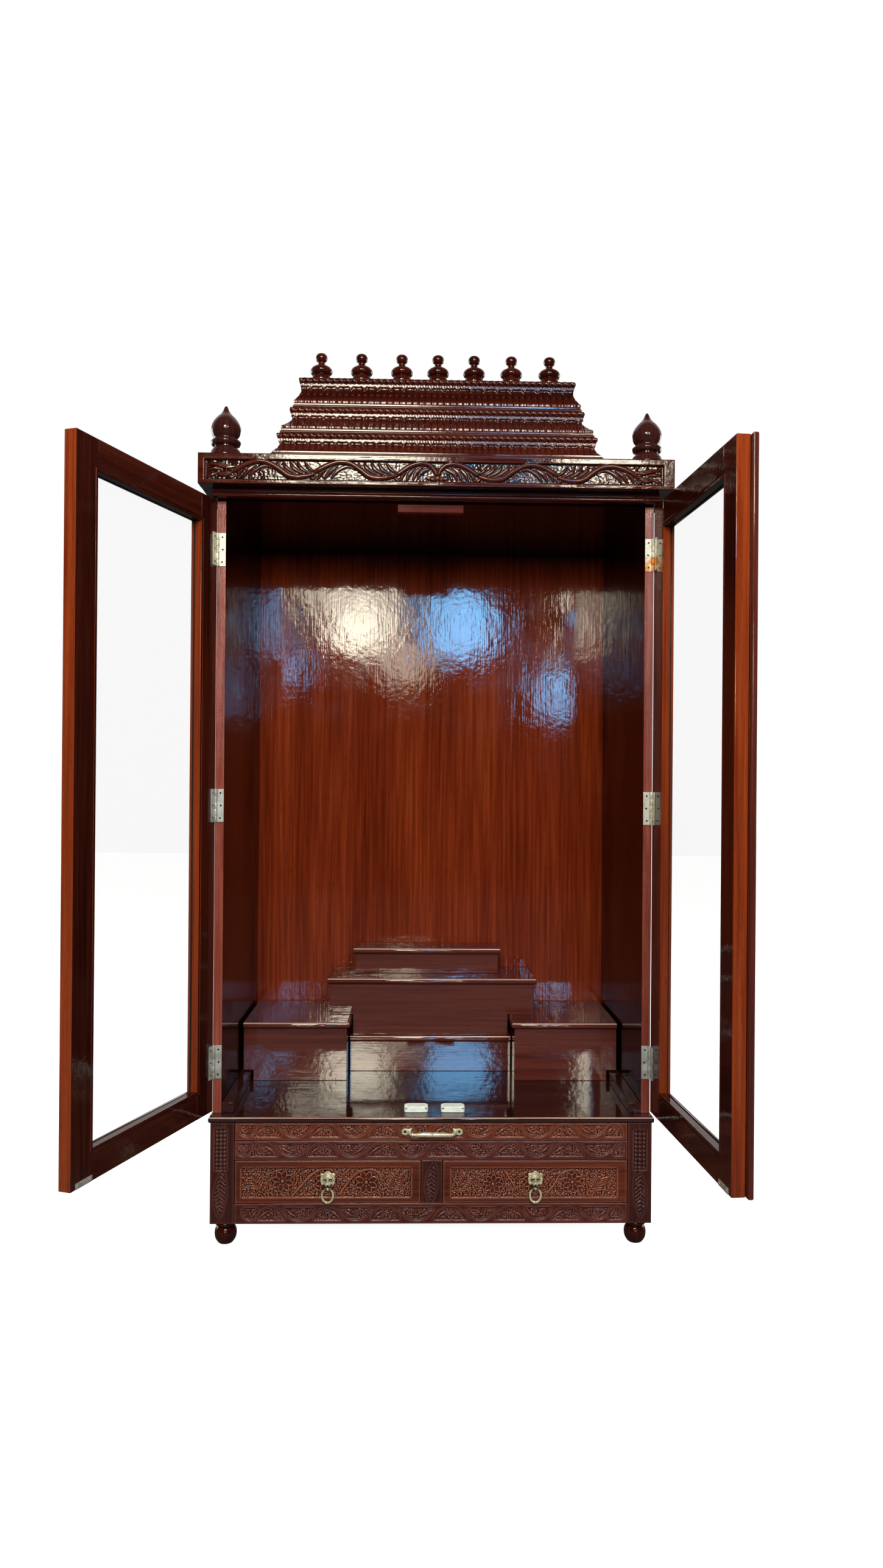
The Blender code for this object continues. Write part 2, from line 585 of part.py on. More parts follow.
def cornice():
    """Carved front board with its two returns, a deck within them and a bead below."""
    front, back = CORNICE_FRONT, BOARD_BACK
    half, inside = CORNICE_HALF, HALF_W + GAP
    outline = [(-half, front), (half, front), (half, back), (inside, back),
               (inside, front + CORNICE_T), (-inside, front + CORNICE_T), (-inside, back),
               (-half, back)]
    body = piece("cornice", prism(outline, CORNICE_H), "carved", (0, 0, CORNICE_BOTTOM))
    behind = CORNICE_T / 2
    join(body, (-half + behind, front + behind, CORNICE_TOP - DECK_T),
         (half - behind, back, CORNICE_TOP))
    combine(body, "UNION", bead_moulding())


def bead_moulding():
    """A bead under a narrow fillet, along the front below the cornice."""
    bottom = DOOR_TOP + DOOR_CLEAR
    top = CORNICE_BOTTOM + BITE
    half_round = arc((BEAD_FRONT, bottom + BEAD_R), BEAD_R, 270, 90, 6)
    outline = [(-GAP, bottom), *half_round, (BEAD_FRONT, top), (-GAP, top)]
    bm = prism(outline, 2 * BEAD_HALF)
    across = Matrix(((0, 0, 1, -BEAD_HALF), (1, 0, 0, 0), (0, 1, 0, 0), (0, 0, 0, 1)))
    bmesh.ops.transform(bm, matrix=across, verts=bm.verts)
    bmesh.ops.recalc_face_normals(bm, faces=bm.faces)
    return bm


def tier_profile(foot_half, rope_half, height):
    """(half width, height) up one tier: fillet, coved flutes, fascia and rope."""
    fascia_half = rope_half - ROPE_PROUD
    cove_foot, cove_head = foot_half - COVE_INSET, fascia_half - COVE_INSET
    cove_low, cove_high = FILLET_H + LEDGE_FALL, height - ROPE_D - FASCIA_H
    profile = [(foot_half, 0.0), (foot_half, FILLET_H)]
    for i in range(5):
        t = i / 4
        profile.append((cove_foot + (cove_head - cove_foot) * math.sin(t * math.pi / 2),
                        cove_low + (cove_high - cove_low) * t))
    profile += [(fascia_half, cove_high + LEDGE_FALL), (fascia_half, height - ROPE_D)]
    profile += arc((rope_half - ROPE_D / 2, height - ROPE_D / 2), ROPE_D / 2, -60, 90, 4)
    return profile


def gopuram():
    """Three mitred tiers on the front and sides, each narrower, plain at the back."""
    base_z = TIER_BASE
    front_of = GOPURAM_FRONT + FOOT_HALF[0]
    hole_half = ROPE_HALF[2] - GOPURAM_WALL
    hole_front = front_of - hole_half
    hole_back = GOPURAM_BACK - GOPURAM_WALL
    for level, name in enumerate(("low", "middle", "high")):
        bm = bmesh.new()
        loops = []
        profile = tier_profile(FOOT_HALF[level], ROPE_HALF[level], TIER_H[level])
        for half, z in profile:
            front = front_of - half
            corners = ((-half, front), (half, front), (half, GOPURAM_BACK), (-half, GOPURAM_BACK))
            loops.append([bm.verts.new((x, y, z)) for x, y in corners])
        for lower, upper in zip(loops, loops[1:]):
            for i in range(4):
                j = (i + 1) % 4
                bm.faces.new((lower[i], lower[j], upper[j], upper[i]))
        bm.faces.new(loops[0][::-1])
        bm.faces.new(loops[-1])
        bmesh.ops.recalc_face_normals(bm, faces=bm.faces)
        tier = piece(f"gopuram_tier_{name}", bm, "carved", (0, 0, base_z))
        cut(tier, (-hole_half, hole_front, base_z - PAST),
            (hole_half, hole_back, base_z + TIER_H[level] + PAST))
        base_z += TIER_H[level] + GAP
    gopuram_deck(base_z - GAP, (hole_half, hole_front, hole_back))


def gopuram_deck(top, hole):
    """The board that closes the gopuram, with its row of seven turned finials."""
    half, front, back = hole
    deck = board("gopuram_deck", (-half + GAP, front + GAP, top - DECK_T),
                 (half - GAP, back - GAP, top), "mahogany")
    for x in FINIAL_X:
        combine(deck, "UNION", turned(finial_profile(), 10), (x, FINIAL_ROW_Y, top - BITE))


def finial_profile():
    """A ball on a slim neck over a wide bulb, rising from a short foot."""
    tip = FINIAL_H + BITE
    ball = arc((0.0, tip - BALL_R), BALL_R, -60, 90, 5)
    return [(0.0, 0.0), (0.0130, 0.0), (0.0130, 0.0070), (0.0215, 0.0085), (0.0235, 0.0150),
            (0.0222, 0.0235), (0.0165, 0.0285), (0.0078, 0.0325), (0.0056, 0.0385),
            *ball[:-1], (0.0, tip)]


def corner_profile():
    """An onion with a drawn-out tip, over a ring and a flared base."""
    return [(0.0, 0.0), (0.0335, 0.0), (0.0335, 0.0060), (0.0320, 0.0110), (0.0290, 0.0173),
            (0.0240, 0.0225), (0.0240, 0.0252), (0.0298, 0.0288), (0.0311, 0.0326),
            (0.0300, 0.0366), (0.0241, 0.0440), (0.0292, 0.0516), (0.0306, 0.0610),
            (0.0288, 0.0706), (0.0216, 0.0833), (0.0103, 0.0956), (0.0036, 0.1084),
            (0.0, CORNER_H)]


def corner_finials():
    for side, hand in ((-1, "left"), (1, "right")):
        piece(f"corner_finial_{hand}", turned(corner_profile(), 16), "mahogany",
              (side * CORNER_X, CORNER_Y, CORNICE_TOP + GAP), smooth=True)


# ---- Assembly -----------------------------------------------------------------------------

for old in list(bpy.data.objects):
    bpy.data.objects.remove(old, do_unlink=True)
TEMPLE = empty("temple", TEMPLE_PLACE)

feet()
base()
drawer(-1, "left")
drawer(1, "right")
tray()
cabinet()
altar()
door(-1, "left", LEFT_OPEN)
door(1, "right", RIGHT_OPEN)
cornice()
gopuram()
corner_finials()
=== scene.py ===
"""Home temple: the finished look of the cabinet, its doors, altar, carving and hardware.

Metres, +Z up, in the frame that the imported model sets. The temple's front faces -Y. Carving is
laid out in millimetres on each board: s runs right from its left end and t up from its bottom.
"""
import json
import math

import bmesh
import bpy
import numpy as np
from mathutils import Matrix, Vector


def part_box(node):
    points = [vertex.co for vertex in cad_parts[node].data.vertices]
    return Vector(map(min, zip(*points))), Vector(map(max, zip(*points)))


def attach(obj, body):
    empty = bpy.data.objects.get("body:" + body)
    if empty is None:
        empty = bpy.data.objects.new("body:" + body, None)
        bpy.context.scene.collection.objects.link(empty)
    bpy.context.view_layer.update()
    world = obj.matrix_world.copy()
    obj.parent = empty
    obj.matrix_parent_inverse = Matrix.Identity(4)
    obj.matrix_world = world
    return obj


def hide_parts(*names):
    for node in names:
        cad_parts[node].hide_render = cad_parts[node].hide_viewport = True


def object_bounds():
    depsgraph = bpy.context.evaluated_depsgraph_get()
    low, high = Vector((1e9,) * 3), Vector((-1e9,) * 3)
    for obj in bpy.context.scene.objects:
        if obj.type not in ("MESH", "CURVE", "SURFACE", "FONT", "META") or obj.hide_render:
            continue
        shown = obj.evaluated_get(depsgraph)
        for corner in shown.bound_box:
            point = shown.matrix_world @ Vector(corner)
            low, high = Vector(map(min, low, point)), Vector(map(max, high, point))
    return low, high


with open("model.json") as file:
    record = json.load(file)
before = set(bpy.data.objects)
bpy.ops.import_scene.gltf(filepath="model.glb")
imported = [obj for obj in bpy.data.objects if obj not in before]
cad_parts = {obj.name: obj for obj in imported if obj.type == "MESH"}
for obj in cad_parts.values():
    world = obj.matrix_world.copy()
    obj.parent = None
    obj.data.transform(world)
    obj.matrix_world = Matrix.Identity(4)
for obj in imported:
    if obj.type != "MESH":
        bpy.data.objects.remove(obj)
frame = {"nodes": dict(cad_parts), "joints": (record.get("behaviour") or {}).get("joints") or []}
CAD_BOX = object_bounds()
NODES = frame["nodes"]
JOINTS = {joint["name"]: joint for joint in frame["joints"]}
MM = 0.001
QUARTER = math.pi / 2

# ---- Places that the frame gives ----

PANEL_LEFT, PANEL_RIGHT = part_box("side_panel_left"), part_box("side_panel_right")
MIDDLE_X = (PANEL_LEFT[0].x + PANEL_RIGHT[1].x) / 2
HALF_W = (PANEL_RIGHT[1].x - PANEL_LEFT[0].x) / 2
BACK_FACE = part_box("back_panel")[0].y

SIDES = (("left", -1), ("right", 1))


def foot_of(node):
    """The middle of the foot of a node's box."""
    low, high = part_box(node)
    return (low.x + high.x) / 2, (low.y + high.y) / 2, low.z

# ---- Meshes, objects and nodes ----


def to_mesh(bm, name):
    """Turn a bmesh into a mesh."""
    mesh = bpy.data.meshes.new(name)
    bm.to_mesh(mesh)
    bm.free()
    return mesh


def place_object(name, data):
    """Put an object with this data into the scene."""
    obj = bpy.data.objects.new(name, data)
    bpy.context.collection.objects.link(obj)
    return obj


class Nodes:
    """Short forms for laying out the nodes of a material, or of the world."""

    def __init__(self, owner):
        owner.use_nodes = True
        self.owner, self.tree = owner, owner.node_tree
        self.places = self.new("TexCoord").outputs
        self.coords = self.places["Object"]

    def fill(self, socket, value):
        if isinstance(value, bpy.types.NodeSocket):
            self.tree.links.new(value, socket)
        else:
            socket.default_value = value

    def new(self, kind, inputs=(), **settings):
        node = self.tree.nodes.new("ShaderNode" + kind)
        for key, value in settings.items():
            setattr(node, key, value)
        for socket, value in dict(inputs).items():
            self.fill(node.inputs[socket], value)
        return node

    def set(self, **values):
        shader = self.tree.nodes["Principled BSDF"]
        for socket, value in values.items():
            self.fill(shader.inputs[socket.replace("_", " ")], value)

    def ramp(self, factor, *stops):
        node = self.new("ValToRGB", {"Fac": factor})
        while len(node.color_ramp.elements) < len(stops):
            node.color_ramp.elements.new(0.5)
        for element, (place, colour) in zip(node.color_ramp.elements, stops):
            element.position, element.color = place, (*colour, 1.0)
        return node.outputs["Color"]

    def math(self, operation, a, b=0.0, clamp=False):
        return self.new("Math", {0: a, 1: b}, operation=operation, use_clamp=clamp).outputs[0]

    def mix(self, factor, a, b):
        return self.new("Mix", {0: factor, 6: a, 7: b}, data_type="RGBA").outputs[2]

    def between(self, value, low, high, to_low=0.0, to_high=1.0):
        return self.new("MapRange", {"Value": value, "From Min": low, "From Max": high,
                                     "To Min": to_low, "To Max": to_high}).outputs[0]

    def noise(self, scale, detail=2.0, stretch=(1, 1, 1), distortion=0.0):
        mapped = self.new("Mapping", {"Vector": self.coords, "Scale": stretch}).outputs[0]
        return self.new("TexNoise", {"Vector": mapped, "Scale": scale, "Detail": detail,
                                     "Distortion": distortion}).outputs["Fac"]

    def hollow(self):
        return self.new("Attribute", attribute_name="hollow").outputs["Fac"]

    def bump(self, height, distance, strength=1.0):
        return self.new("Bump", {"Height": height, "Distance": distance,
                                 "Strength": strength}).outputs[0]

# ---- Camera and stage ----

EYE, LENS, FILM_W = (0.0109, -2.1536, 0.9535), 23.54, 36.0
YAW, PITCH, ROLL = math.radians(1.41), math.radians(0.09), math.radians(0.45)
CREAM, BLUE, WHITE = (1.0, 0.93, 0.74), (0.16, 0.55, 1.0), (1.0, 0.98, 0.95)
DIM_WARM = (1.0, 0.93, 0.88, 1)
FAR, NEAR = -9.0, -2.6
ROUND, SQUARE = "ELLIPSE", "RECTANGLE"
# bright windows that the lacquer mirrors: place, size, power, colour, shape and lean
WINDOWS = {
    "cream_window": ((-0.650, FAR, 2.817), (0.744, 0.638), 35.0, CREAM, ROUND, 8),
    "cream_window_head": ((-0.820, FAR, 3.242), (1.190, 0.425), 18.0, CREAM, SQUARE, 3),
    "cream_window_foot": ((-0.140, FAR, 2.370), (0.510, 0.553), 6.3, CREAM, ROUND, -10),
    "blue_window": ((0.530, FAR, 2.817), (0.760, 0.808), 40.0, BLUE, ROUND, -6),
    "blue_window_head": ((0.328, FAR, 3.114), (0.425, 0.468), 9.0, BLUE, SQUARE, 40),
    "blue_side_window": ((1.709, FAR, 2.051), (0.446, 0.553), 15.4, BLUE, SQUARE, 4),
    "blue_left_window": ((-1.713, FAR, 2.859), (0.255, 0.276), 2.7, BLUE, ROUND, 0),
    "blue_low_left_window": ((-1.458, FAR, 2.349), (0.213, 0.510), 4.1, BLUE, ROUND, 0),
    "cream_side_window": ((2.039, FAR, 2.902), (0.298, 1.020), 21.7, CREAM, SQUARE, 2),
    "cream_high_window": ((-0.300, NEAR, 2.640), (0.700, 0.600), 40.0, CREAM, SQUARE, 4),
    "blue_high_window": ((0.490, NEAR, 2.730), (0.340, 0.260), 7.0, BLUE, ROUND, 0),
    "cream_side_high_window": ((0.860, NEAR, 2.440), (0.440, 0.220), 9.0, CREAM, ROUND, 0)}
AHEAD = (MIDDLE_X, BACK_FACE, 1.1)
# soft panels: place, target, size, power, and whether the lacquer mirrors them
PANELS = {
    "ceiling_panel": ((0.0, -1.3, 3.3), (0.0, -0.1, 1.0), (2.8, 1.8), 50, False),
    "front_fill": ((0.1, -3.2, 1.95), AHEAD, (1.8, 0.8), 80, False),
    "left_panel": ((-3.0, 2.0, 1.7), AHEAD, (1.6, 2.0), 40, True),
    "right_panel": ((3.0, 2.0, 1.7), AHEAD, (1.6, 2.0), 40, True),
    "rear_panel": ((0.0, 3.8, 1.9), AHEAD, (1.6, 2.0), 40, True)}


def make_camera():
    """The camera stands a little right of the middle, at chest height, level and barely rolled."""
    camera = place_object("camera", bpy.data.cameras.new("camera"))
    camera.data.lens, camera.data.sensor_width = LENS, FILM_W
    forward = Vector((math.sin(YAW) * math.cos(PITCH), math.cos(YAW) * math.cos(PITCH),
                      math.sin(PITCH)))
    level = Vector((math.cos(YAW), -math.sin(YAW), 0.0))
    right = level * math.cos(ROLL) + level.cross(forward) * math.sin(ROLL)
    turn = Matrix((right, right.cross(forward), -forward)).transposed().to_4x4()
    camera.matrix_world = Matrix.Translation(EYE) @ turn
    bpy.context.scene.camera = camera


def lamp(name, place, target, size, power, colour, mirrored, shape=SQUARE, lean=0.0):
    """A soft lamp that the camera doesn't see, nor the lacquer unless it is mirrored."""
    data = bpy.data.lights.new(name, "AREA")
    data.shape, data.size, data.size_y = shape, *size
    data.energy, data.color = power, colour
    light = place_object(name, data)
    light.location = place
    aim = (Vector(target) - Vector(place)).to_track_quat("-Z", "Y").to_matrix()
    light.rotation_euler = (aim @ Matrix.Rotation(math.radians(lean), 3, "Z")).to_euler()
    light.visible_camera, light.visible_glossy = False, mirrored


def light_stage():
    """Cream and blue windows in front, a soft ceiling, and soft panels round the sides."""
    for name, (place, size, power, colour, shape, lean) in WINDOWS.items():
        lamp(name, place, (place[0], 0.0, place[2]), size, power, colour, True, shape, lean)
    for name, (place, target, size, power, mirrored) in PANELS.items():
        lamp(name, place, target, size, power, WHITE, mirrored)
    world = bpy.context.scene.world = bpy.data.worlds.new("studio")
    n = Nodes(world)
    shown = n.tree.nodes["Background"]
    n.fill(shown.inputs["Color"], (1, 1, 1, 1))
    n.fill(shown.inputs["Strength"], 1.02)
    way = n.new("SeparateXYZ", {0: n.places["Generated"]}).outputs[1]
    behind = n.between(way, 0.0, 0.5, 0.02, 0.75)  # the lacquer sees a pale wall behind the temple
    mixed = n.new("Background", {"Color": DIM_WARM, "Strength": 0.05})
    gloss = n.new("Background", {"Color": DIM_WARM, "Strength": behind})
    path = n.new("LightPath").outputs
    for ray, background in (("Is Glossy Ray", gloss), ("Is Camera Ray", shown)):
        mixed = n.new("MixShader", {0: path[ray], 1: mixed.outputs[0], 2: background.outputs[0]})
    n.fill(n.tree.nodes["World Output"].inputs["Surface"], mixed.outputs[0])
    bpy.context.scene.view_settings.view_transform = "Standard"


def make_floor():
    """A plain pale floor that takes soft shadows and shows dimly in the lacquer."""
    bm = bmesh.new()
    bmesh.ops.create_grid(bm, x_segments=1, y_segments=1, size=9.0)
    bmesh.ops.translate(bm, vec=(0, 3.0, CAD_BOX[0].z - 0.0005), verts=bm.verts)
    floor = place_object("floor", to_mesh(bm, "floor"))
    n = Nodes(bpy.data.materials.new("pale_floor"))
    away = n.new("VectorMath", {0: n.coords}, operation="LENGTH").outputs["Value"]
    mirrored = n.new("LightPath").outputs["Is Glossy Ray"]
    glow = n.between(away, 1.2, 3.5, 0.93, 1.02)
    n.set(Roughness=0.9, Base_Color=n.between(mirrored, 0, 1, 0.50, 0.05),
          Emission_Color=(1, 1, 1, 1), Emission_Strength=n.between(mirrored, 0, 1, glow, 0.03))
    floor.data.materials.append(n.owner)
    floor.visible_diffuse = False


make_camera()
light_stage()
make_floor()

# ---- Materials ----


def along(axis, across, length):
    """A stretch for grain that runs along one axis."""
    return tuple(length if a == axis else across for a in "xyz")


def darker(tone, share):
    return (*[c * share for c in tone], 1)


def wood(name, tones, grain, ripple, roughness=(0.05, 0.12), grit=0.0, hollows=0.0, edge=None,
         turn=0.0, proud_highlight=0.8, gloss=0.5):
    """Stained wood under hand-brushed lacquer.

    tones are the stain's dark, middle and light. ripple waves the lacquer and grit roughens it.
    hollows paints shade into what is carved away, and proud_highlight paints a pale highlight on
    what stands proud. edge is an axis, a place on it and two paler tones, painted light on the
    end of a door. turn is the board's turn about Z.
    """
    n = Nodes(bpy.data.materials.new(name))
    straight = n.coords
    if turn:
        n.coords = n.new("Mapping", {"Vector": straight, "Rotation": (0, 0, -turn)}).outputs[0]
    dark, middle, light = tones
    figure = n.noise(1.0, 3.0, along(grain, 9.0, 0.55), 0.8)
    fine = n.noise(1.0, 5.0, along(grain, 150.0, 4.0))
    mixed = n.math("ADD", n.math("MULTIPLY", figure, 0.42), n.math("MULTIPLY", fine, 0.58))
    colour = n.ramp(mixed, (0.30, dark), (0.50, middle), (0.74, light))
    pore = n.between(n.noise(1.0, 2.0, along(grain, 620.0, 40.0)), 0.28, 0.42, 0.55, 1.0)
    colour = n.mix(pore, darker(dark, 0.7), colour)
    # painted light: the end of a door is paler where the lamps fall on it
    if edge:
        axis, place, tone = edge
        lit_band = n.math("LESS_THAN", n.new("SeparateXYZ", {0: straight}).outputs[axis], place)
        colour = n.mix(lit_band, colour, n.ramp(mixed, (0.34, tone[0]), (0.62, tone[1])))
    # painted shade darkens the carved hollows, and a painted highlight in a pale cream tone
    # lightens what stands proud
    if hollows:
        depth = n.hollow()
        sunk = n.math("MULTIPLY", depth, hollows, clamp=True)
        highlight_share = n.math("MULTIPLY", depth, -proud_highlight, clamp=True)
        colour = n.mix(sunk, colour, darker(dark, 0.22))
        colour = n.mix(highlight_share, colour, (light[0] * 2.6, light[1] * 4.2, light[2] * 5.0, 1))
    height = n.math("MULTIPLY", n.noise(26.0, 2.0, along(grain, 1.0, 0.7)), ripple)
    for part, share in ((n.noise(95.0), 0.32), (n.noise(1.0, 2.0, along(grain, 260.0, 14.0)), 0.26),
                        (n.noise(430.0), 0.06)):
        height = n.math("ADD", height, n.math("MULTIPLY", part, share * ripple))
    if grit:
        height = n.math("ADD", height, n.math("MULTIPLY", n.noise(330.0), grit))
    n.set(Base_Color=colour, Roughness=n.between(n.noise(14.0, 3.0), 0.35, 0.65, *roughness),
          Normal=n.bump(height, 0.001), IOR=1.5, Specular_IOR_Level=gloss)
    return n.owner


def metal(name, colour, stain, roughness, metallic=0.6, hollows=None, rust=None):
    """Cast or plated metal with a patchy stain, darkened in its hollows or rusted at one height."""
    n = Nodes(bpy.data.materials.new(name))
    patch = n.noise(60.0, 5.0)
    tone = n.ramp(patch, (0.40, stain), (0.58, colour))
    if hollows:
        tone = n.mix(n.hollow(), tone, (*hollows, 1))
    if rust:
        low, high, rust_tone = rust
        height = n.new("SeparateXYZ", {0: n.coords}).outputs[2]
        rusted = n.math("MULTIPLY", n.between(height, low - 0.02, low),
                        n.between(height, high, high - 0.006))
        tone = n.mix(n.math("MULTIPLY", rusted, n.between(n.noise(90.0), 0.3, 0.5)), tone,
                     (*rust_tone, 1))
    n.set(Base_Color=tone, Roughness=n.between(patch, 0.3, 0.7, roughness[1], roughness[0]),
          Normal=n.bump(n.noise(900.0), 0.0001, 0.6), Metallic=metallic)
    return n.owner


def pane(name):
    """Thin clear glass with a little waviness in its shine."""
    n = Nodes(bpy.data.materials.new(name))
    n.set(Base_Color=(0.20, 0.23, 0.21, 1), Alpha=0.05,
          Roughness=n.between(n.noise(20.0), 0.3, 0.7, 0.02, 0.05))
    return n.owner


# each stain's dark, middle and light tones
MAROON = ((0.009, 0.0010, 0.0006), (0.030, 0.0034, 0.0014), (0.066, 0.009, 0.0034))
RAIL_RED = ((0.024, 0.0043, 0.0030), (0.064, 0.0120, 0.0077), (0.115, 0.0255, 0.0162))
FRONT_RED = ((0.037, 0.0060, 0.0030), (0.091, 0.0165, 0.0070), (0.160, 0.033, 0.0140))
PANEL_RED = ((0.010, 0.0012, 0.0007), (0.028, 0.0036, 0.0016), (0.060, 0.009, 0.0035))
# painted shade: the side panels' inner faces and the ceiling are stained darker for the shade
# inside the cabinet
SHADED_INSIDE_RED = ((0.0030, 0.0006, 0.0005), (0.0085, 0.0013, 0.0009), (0.020, 0.0034, 0.0018))
# painted light: the side panels' front edges are stained paler where the light falls on them
LIT_PANEL_EDGE = ((0.080, 0.014, 0.008), (0.175, 0.036, 0.021), (0.300, 0.085, 0.058))
# painted highlight: the pale tones along the steps' and slab's rounded front edges
NOSING_HIGHLIGHT = ((0.26, 0.13, 0.10), (0.45, 0.29, 0.24), (0.72, 0.58, 0.50))
VENEER = ((0.055, 0.0058, 0.0011), (0.128, 0.0155, 0.0034), (0.230, 0.037, 0.0095))
SLAB_RED = ((0.008, 0.0020, 0.0017), (0.024, 0.0056, 0.0046), (0.048, 0.0128, 0.0102))
STEP_RED = ((0.048, 0.0098, 0.0064), (0.083, 0.0176, 0.0114), (0.118, 0.028, 0.019))
NEARLY_BLACK = ((0.012, 0.003, 0.003), (0.030, 0.007, 0.006), (0.060, 0.014, 0.010))
POST_RED = ((0.017, 0.0030, 0.0023), (0.039, 0.0070, 0.0048), (0.072, 0.0152, 0.0095))
# painted light: the doors' end faces are paler than their broad faces for the light that falls on
# them
LIT_DOOR_END = ((0.075, 0.0085, 0.002), (0.175, 0.026, 0.0055), (0.275, 0.048, 0.010))
DOOR_RED = ((0.010, 0.0018, 0.0012), (0.031, 0.0050, 0.0028), (0.064, 0.012, 0.0065))
# painted light: the right door's free end, lit more strongly than the left door's
LIT_END = ((0.12, 0.012, 0.0012), (0.27, 0.045, 0.006))
RUST = (1.395, 1.440, (0.62, 0.24, 0.05))     # stained between two heights

POLISHED = {"roughness": (0.03, 0.07), "ripple": 0.2}
CUT = {"roughness": (0.12, 0.22), "ripple": 0.25, "grit": 0.10, "hollows": 0.75}
WOODS = {key: wood(name, tones, grain, **more) for key, name, tones, grain, more in (
    ("upright", "upright_lacquered_wood", PANEL_RED, "z", {"ripple": 0.5}),
    ("panel", "side_panel_wood", PANEL_RED, "z", {"ripple": 0.5}),
    ("panel_inside", "side_panel_inner_face", SHADED_INSIDE_RED, "z", {"ripple": 0.4, "gloss": 0.14}),
    ("panel_edge", "side_panel_front_edge", LIT_PANEL_EDGE, "z",
     {"roughness": (0.14, 0.30), "ripple": 0.6, "grit": 0.35}),
    ("nosing", "nosing_highlight_wood", NOSING_HIGHLIGHT, "x",
     {"roughness": (0.12, 0.25), "ripple": 0.4, "grit": 0.2}),
    ("level", "level_lacquered_wood", STEP_RED, "x", POLISHED | {"gloss": 0.8}),
    ("slab", "slab_lacquered_wood", SLAB_RED, "x", POLISHED | {"gloss": 0.8}),
    ("strip", "floor_strip_wood", SLAB_RED, "y", {"ripple": 0.4}),
    ("ceiling", "ceiling_wood", SHADED_INSIDE_RED, "x", {"ripple": 0.4, "gloss": 0.08}),
    ("deep", "front_to_back_wood", STEP_RED, "y", POLISHED),
    ("veneer", "back_veneer_wood", VENEER, "z", {"roughness": (0.04, 0.08), "ripple": 0.32}),
    ("turned", "turned_lacquered_wood", MAROON, "z", {"ripple": 0.2}),
    ("dark_turned", "dark_turned_wood", NEARLY_BLACK, "z", {"ripple": 0.2}),
    ("rail", "carved_rail_wood", RAIL_RED, "x", CUT),
    ("post", "carved_post_wood", POST_RED, "z", CUT),
    ("front", "carved_front_wood", FRONT_RED, "x", CUT),
    ("cornice", "carved_cornice_wood", MAROON, "x",
     {"roughness": (0.05, 0.13), "ripple": 0.5, "grit": 0.05, "hollows": 0.9, "proud_highlight": 0.15}),
    ("gopuram", "carved_gopuram_wood", MAROON, "x",
     {"roughness": (0.07, 0.16), "ripple": 0.3, "grit": 0.06, "hollows": 0.9, "proud_highlight": 0.3}))}
SWING = {"left": -109.2, "right": 94.0}       # how far each door's grain is turned, in degrees
LIT_END_W = 0.0030
DOOR_WOODS = {}
for hand, turn in SWING.items():
    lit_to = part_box("right_door_frame")[0].y + LIT_END_W
    for board, grain, tones in (("stile", "z", DOOR_RED), ("rail", "x", DOOR_RED),
                                ("edge", "z", LIT_DOOR_END), ("astragal", "z", RAIL_RED)):
        DOOR_WOODS[hand, board] = wood(
            f"{hand}_door_{board}_wood", tones, grain, ripple=0.5, turn=math.radians(turn),
            edge=(1, lit_to, LIT_END) if (hand, board) == ("right", "stile") else None)
BRASS = metal("cast_brass", (0.92, 0.86, 0.62), (0.66, 0.57, 0.34), (0.20, 0.36),
              hollows=(0.030, 0.022, 0.012))
CREAM_STEEL = ((0.76, 0.72, 0.58), (0.60, 0.55, 0.40))
GREY_STEEL = ((0.60, 0.60, 0.56), (0.42, 0.40, 0.34))
HINGE_FINISHES = {
    (hand, level): metal(f"{hand}_{level}_hinge_steel", *tones, (0.30, 0.5), rust=rust)
    for hand, level, tones, rust in (
        ("left", "high", CREAM_STEEL, None), ("left", "middle", GREY_STEEL, None),
        ("left", "low", GREY_STEEL, None), ("right", "high", CREAM_STEEL, RUST),
        ("right", "middle", CREAM_STEEL, None), ("right", "low", GREY_STEEL, None))}
STRIKE = metal("strike_plate_steel", (0.74, 0.72, 0.64), (0.50, 0.47, 0.38), (0.22, 0.4))
DARK_STEEL = metal("screw_steel", (0.035, 0.030, 0.026), (0.012, 0.010, 0.009), (0.30, 0.5))
PLASTIC = metal("catch_plastic", (0.80, 0.84, 0.76), (0.68, 0.72, 0.62), (0.30, 0.45), 0.0)
GLASS = pane("pane_glass")

# ---- Making pieces ----


WELD = 0.000001                       # points closer than this become one
SQUARE_ON = 0.9995                    # a face this square to an axis is shaded flat
ARRIS = 0.7                           # edges sharper than this angle are hard


def flat_faces(mesh):
    """Shade broad faces flat and only the eased edges and nosings round."""
    normals = np.array([p.normal for p in mesh.polygons])
    mesh.polygons.foreach_set("use_smooth", np.abs(normals).max(1) < SQUARE_ON)


def piece(name, bm, finishes, body, slot, nodes=(), sharp=35.0, clean=True, flat=False):
    """Turn a finished bmesh into a piece that rides on a body and stands for its CAD nodes."""
    if clean:
        bmesh.ops.remove_doubles(bm, verts=bm.verts, dist=WELD)
        bmesh.ops.recalc_face_normals(bm, faces=bm.faces)
    mesh = to_mesh(bm, name)
    mesh.shade_smooth()
    mesh.set_sharp_from_angle(angle=math.radians(sharp))
    if flat:
        flat_faces(mesh)
    for finish in finishes if isinstance(finishes, (list, tuple)) else [finishes]:
        mesh.materials.append(finish)
    obj = place_object(name, mesh)
    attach(obj, body)
    if nodes:
        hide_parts(*nodes)
    return obj


def at(place):
    return Matrix.Translation(place)


def about(axis, angle):
    return Matrix.Rotation(angle, 4, axis)


def rounded(bm, edges, radius, steps=2):
    """Round these edges over."""
    bmesh.ops.bevel(bm, geom=edges, offset=radius, segments=steps, profile=0.5, affect="EDGES",
                    clamp_overlap=True, material=-1)
    return bm


